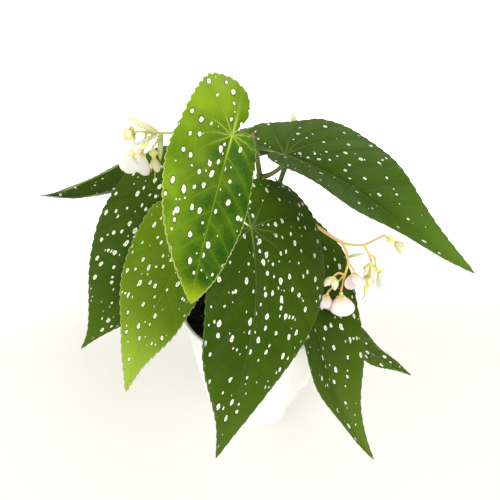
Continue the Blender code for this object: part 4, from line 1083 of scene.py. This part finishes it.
# Each kind at size 1. Bodies: radius, low, high, skin and flute. Anthers: radius, low, height and count. Fins:
# width, high and turns. Tepals: length, width, opening, cup, lift, skin, frill and turns. Styles: low, lean, curl,
# and the turn and length of each. Shells: radius at the root, its loss, bulge, lean and length.
bloomKinds = {
    "open": dict(bodies=[(2.2, 0, 3.2, 1, 0)], anthers=(3.6, 1.8, 5.2, 30), tepals=[
        (17, 18, 84, 18, 2.2, 0, 0.35, (0, 180)), (14, 6, 68, 10, 4.3, 0, 0.35, (90, 270)),
        (10, 7, 56, 30, 3.2, 5, 0.6, (35, 145, 215, 325))]),
    "drooping": dict(bodies=[(1.8, 0, 3.4, 1, 0)], anthers=(2.4, 2.4, 4.2, 22), tepals=[
        (20, 21, 40, 14, 3.0, 0, 0.35, (0, 180))]),
    "winged": dict(bodies=[(2.4, 0, 12.6, 4, 0.12), (2.3, 12.4, 30, 4, 0.1)], fins=(5.5, 10, (7, 127, 247)), tepals=[
        (13, 4.4, 66, 34, 1.2, 5, 0.6, range(30, 390, 60)), (10, 7, 42, 10, 11.3, 5, 0.6, range(20, 380, 90))],
        styles=(29, 0.25, 0.35, ((0.4, 9), (3.0, 9)))),
    "fading": dict(bodies=[(2.2, 0, 8.8, 4, 0.12)], fins=(3.5, 6.3, (13, 133, 253)), tepals=[
        (14, 6.5, 24, -8, 7, 5, 0.9, (60, 180, 300)), (12, 4.2, 12, -26, 7, 5, 0.7, (0, 120, 240))],
        styles=(8, 0.15, 0.3, ((0.9, 20), (3.1, 12)))),
    "bud": dict(bodies=[(1.5, 0, 3, 5, 0)], shells=(1.4, 0.6, 2.3, 0.5, 11)),
}


# Tepal in the bloom's own frame: it leaves the axis at openAngle, curls back by cup and ripples at its rim
def tepalPart(length, width, openAngle, cup, spin, lift, slot=0, frill=0.35):
    def shape(u, v):
        across = (u - 0.5) * 2
        half = width / 2 * np.sin(pi * (0.03 + 0.94 * v)) ** 0.7
        turn = radians(openAngle) - radians(cup) * v
        out, up = v * length * np.sin(turn), v * length * np.cos(turn) + 0.22 * half * across**2 + lift
        up = up + frill * np.sin(7 * v + 3 * across) * across**2 * ease(0.1, 0.6, v)
        base, side, angle = 0.8 + out, half * across, radians(spin)
        return np.stack([base * cos(angle) - side * sin(angle), base * sin(angle) + side * cos(angle), up], -1)

    return sheetPart(shape, 19, 22, bloomForm["tepalThickness"], slot)


# Egg-shaped body on the bloom's axis, fluted by three faint lobes
def knobPart(radius, low, high, slot=1, flute=0.0):
    share = np.linspace(0.02, 0.98, 20)
    heights = low + (high - low) * share
    radii = radius * np.sin(pi * (0.12 + 0.78 * share)) ** 0.7
    angle = np.linspace(0, tau, 24, endpoint=False)
    rings = uprightRings(radii[:, None] * (1 + flute * np.cos(3 * angle)[None]), heights, angle)
    plan = np.stack([heights, share, radii], 1)
    return ringSolid(rings, [0, 0, low], [0, 0, high], plan, slot)


# Thin fin of the seed case
def finPart(spin, width, low, high, slot=2):
    def shape(u, v):
        out = 0.9 + width * u * np.sin(pi * (0.12 + 0.8 * v)) ** 0.8
        angle = radians(spin) + 0.06 * np.sin(5 * v) * u
        return np.stack([out * np.cos(angle), out * np.sin(angle), low + (high - low) * v], -1)

    return sheetPart(shape, 9, 16, bloomForm["finThickness"], slot)


# Anthers: short filaments with egg-shaped tips over a dome, set out by the golden angle
def antherParts(radius, low, height, count, slot=1):
    parts = []
    for index in range(count):
        share = (index + 0.5) / count
        tilt, turn = radians(10 + 62 * share), 2.39996 * index
        way = np.array([sin(tilt) * cos(turn), sin(tilt) * sin(turn), cos(tilt)])
        root = np.array([0.25 * way[0] * radius, 0.25 * way[1] * radius, low])
        path = root + way * height * np.linspace(0, 1, 8)[:, None]
        widths = np.array([0.16, 0.15, 0.15, 0.16, 0.30, 0.46, 0.48, 0.34]) * radius / 2.6
        parts.append(barPart(path, widths, 7, slot=slot))
    return parts


# Forked and curled stigma arms
def stylePart(start, way, length, curl, slot=3):
    t = np.linspace(0, 1, 24)[:, None]
    way, curl = np.array(way, float), np.array(curl, float)
    path = np.array(start, float) + way * length * t + curl * length * t**2.2
    return barPart(path, 0.42 - 0.2 * t[:, 0], 8, slot=slot)


# A bloom of one kind and size, in its own frame with the axis along +Z: the parts that its kind lists
def bloomParts(kind, size):
    made = bloomKinds[kind]
    parts = [knobPart(radius * size, low * size or -bloomForm["sink"], high * size, slot, flute)
             for radius, low, high, slot, flute in made["bodies"]]
    if "anthers" in made:
        radius, low, height, count = made["anthers"]
        parts += antherParts(radius * size, low * size, height * size, count)
    if "fins" in made:
        width, high, turns = made["fins"]
        parts += [finPart(turn, width * size, 1, high * size) for turn in turns]
    for length, width, opening, cup, lift, slot, frill, turns in made.get("tepals", ()):
        parts += [tepalPart(length * size, width * size, opening, cup, turn, lift * size, slot, frill)
                  for turn in turns]
    if "styles" in made:
        low, lean, curl, arms = made["styles"]
        parts += [stylePart((0, 0, low * size), (lean * cos(turn), lean * sin(turn), 1), length * size,
                            (curl * cos(turn + 1), curl * sin(turn + 1), 0)) for turn, length in arms]
    if "shells" in made:  # two husks side by side, widest at their middle
        radius, loss, bulge, lean, length = made["shells"]
        share = np.linspace(0, 1, 24)
        for tilt in (-lean, lean):
            points = [(0.6 * tilt, 0, 1), (6 * tilt * size, 0, 6 * size), (10 * tilt * size, 0, length * size)]
            radii = (radius - loss * share + bulge * np.sin(pi * share)) * size
            parts.append(barPart(through(points, 24), radii, 20, slot=5, dome=0.3))
    return parts


blushTepal = patternSkin("blushTepal", "tepal", dict(root=(0.90, 0.66, 0.56), face=(0.95, 0.90, 0.86),
                         rim=(0.86, 0.66, 0.60), line=(0.90, 0.72, 0.66), lines=0.3, rimShare=0.5), 0.06,
                         bloomForm["gloss"], 0.3)
bloomSkins = [  # tepal, anther, fin, style, seed case and fading tepal
    patternSkin("whiteTepal", "tepal", dict(root=(0.92, 0.88, 0.70), face=(0.96, 0.95, 0.92), rim=(0.80, 0.74, 0.66),
                line=(0.80, 0.70, 0.62), lines=0.25, rimShare=0.45), 0.06, bloomForm["gloss"], 0.35),
    patternSkin("anther", "stalk", dict(foot=(0.74, 0.66, 0.12), tip=(0.88, 0.82, 0.26), freckle=(0.52, 0.34, 0.05),
                freckles=0.3, grain=1.5), 0.05, bloomForm["gloss"]),
    patternSkin("seedWing", "tepal", dict(root=(0.74, 0.72, 0.26), face=(0.86, 0.84, 0.46), rim=(0.70, 0.50, 0.28),
                line=(0.56, 0.44, 0.18), lines=0.4, rimShare=0.6), 0.06, bloomForm["gloss"], 0.25),
    patternSkin("pinkStyle", "stalk", dict(foot=(0.74, 0.56, 0.40), tip=(0.62, 0.32, 0.32),
                freckle=(0.56, 0.34, 0.30), freckles=0.2, grain=1.5), 0.04, bloomForm["gloss"]),
    patternSkin("seedCase", "stalk", dict(foot=(0.68, 0.66, 0.20), tip=(0.78, 0.76, 0.30), freckle=(0.56, 0.50, 0.14),
                freckles=0.25, grain=1.2), 0.06, bloomForm["gloss"]),
    patternSkin("creamTepal", "tepal", dict(root=(0.80, 0.76, 0.30), face=(0.92, 0.89, 0.62), rim=(0.70, 0.60, 0.32),
                line=(0.80, 0.66, 0.34), lines=0.35, rimShare=0.5), 0.06, bloomForm["gloss"], 0.25),
]
for name, (kind, (spray, index), facing, spin, size) in blooms.items():
    path = branchPath(spray, index)
    facing = Vector(facing).normalized()
    end = path[-1] + np.array(facing) * (sprays[spray][index][2] * 0.7 + seat)
    turn = facing.to_track_quat("Z", "Y").to_matrix() @ Matrix.Rotation(radians(spin), 3, "Z")
    parts = [placed(part, turn, end) for part in bloomParts(kind, size)]
    skins = [blushTepal if name in blushing else bloomSkins[0]] + bloomSkins[1:]
    if spray == "spray_left":  # its styles are yellow like its anthers
        skins[3] = skins[1]
    makePiece(name.replace("_", "."), parts, skins, name)
print("blooms made")

studio = dict(elevation=42.0, distance=0.644, target=(-0.0065, 0.068, 0.138), lens=43.456,
              cream=(0.30, 0.295, 0.27, 1.0), white=(0.92, 0.92, 0.91, 1.0),
              lift=(1.0, 0.965, 0.89, 1.0), floorSize=6.0, floorDrop=0.0005, aim=0.18, worldStrength=0.55)
lights = {  # place, width in metres and power in watts
    "keyLight": ((0.9, -0.9, 1.7), 1.2, 34.0),
    "fillLight": ((-1.3, -0.6, 1.0), 1.4, 20.0),
    "backLight": ((0.1, 1.5, 1.4), 1.4, 14.0),
    "frontLight": ((0.1, -1.5, 0.45), 0.9, 9.0),
}


# Wide pale floor that shines a little, warm cream under the plant and white further back
def floorPiece():
    body = bmesh.new()
    bmesh.ops.create_grid(body, x_segments=8, y_segments=8, size=studio["floorSize"])
    mesh = bpy.data.meshes.new("floor")
    body.to_mesh(mesh)
    body.free()
    skin, tree, shader = newSkin("paleFloor")
    place = placeOf(tree)
    back = place.parts()[1] + place.noise(3.0, 2.0) * 0.15
    tree.links.new(blend(back.fade(0.1, 0.55), studio["cream"], studio["white"]).socket, shader.inputs["Base Color"])
    tree.links.new(back.fade(0.1, 0.4, 0.57, 0.62).socket, shader.inputs["Emission Strength"])
    for label, value in (("Roughness", 0.9), ("Specular IOR Level", 0.1), ("Emission Color", studio["lift"])):
        shader.inputs[label].default_value = value
    mesh.materials.append(skin)
    piece = newObject("floor", mesh)
    piece.location = (0, 0, -studio["floorDrop"])


# Soft square light at a place, aimed at the middle of the plant
def softLight(name, place, size, power):
    lamp = bpy.data.lights.new(name, "AREA")
    lamp.shape, lamp.size, lamp.energy = "SQUARE", size, power
    piece = newObject(name, lamp)
    piece.location = place
    piece.rotation_mode = "QUATERNION"
    piece.rotation_quaternion = (Vector((0, 0, studio["aim"])) - Vector(place)).to_track_quat("-Z", "Y")


floorPiece()
for name, (place, size, power) in lights.items():
    softLight(name, place, size, power)
world = bpy.data.worlds.new("studioWorld")
world.use_nodes = True
sky = world.node_tree.nodes["Background"].inputs
sky["Color"].default_value = (1.0, 1.0, 1.0, 1.0)
sky["Strength"].default_value = studio["worldStrength"]
bpy.context.scene.world = world
bpy.context.scene.view_settings.view_transform = "Standard"

lens = bpy.data.cameras.new("camera")
lens.lens, lens.sensor_width, lens.sensor_fit = studio["lens"], 36.0, "HORIZONTAL"
camera = newObject("camera", lens)
lift = radians(studio["elevation"])
camera.location = Vector(studio["target"]) + Vector((0, -cos(lift), sin(lift))) * studio["distance"]
camera.rotation_euler = (pi / 2 - lift, 0, 0)
bpy.context.scene.camera = camera

print("scene made")
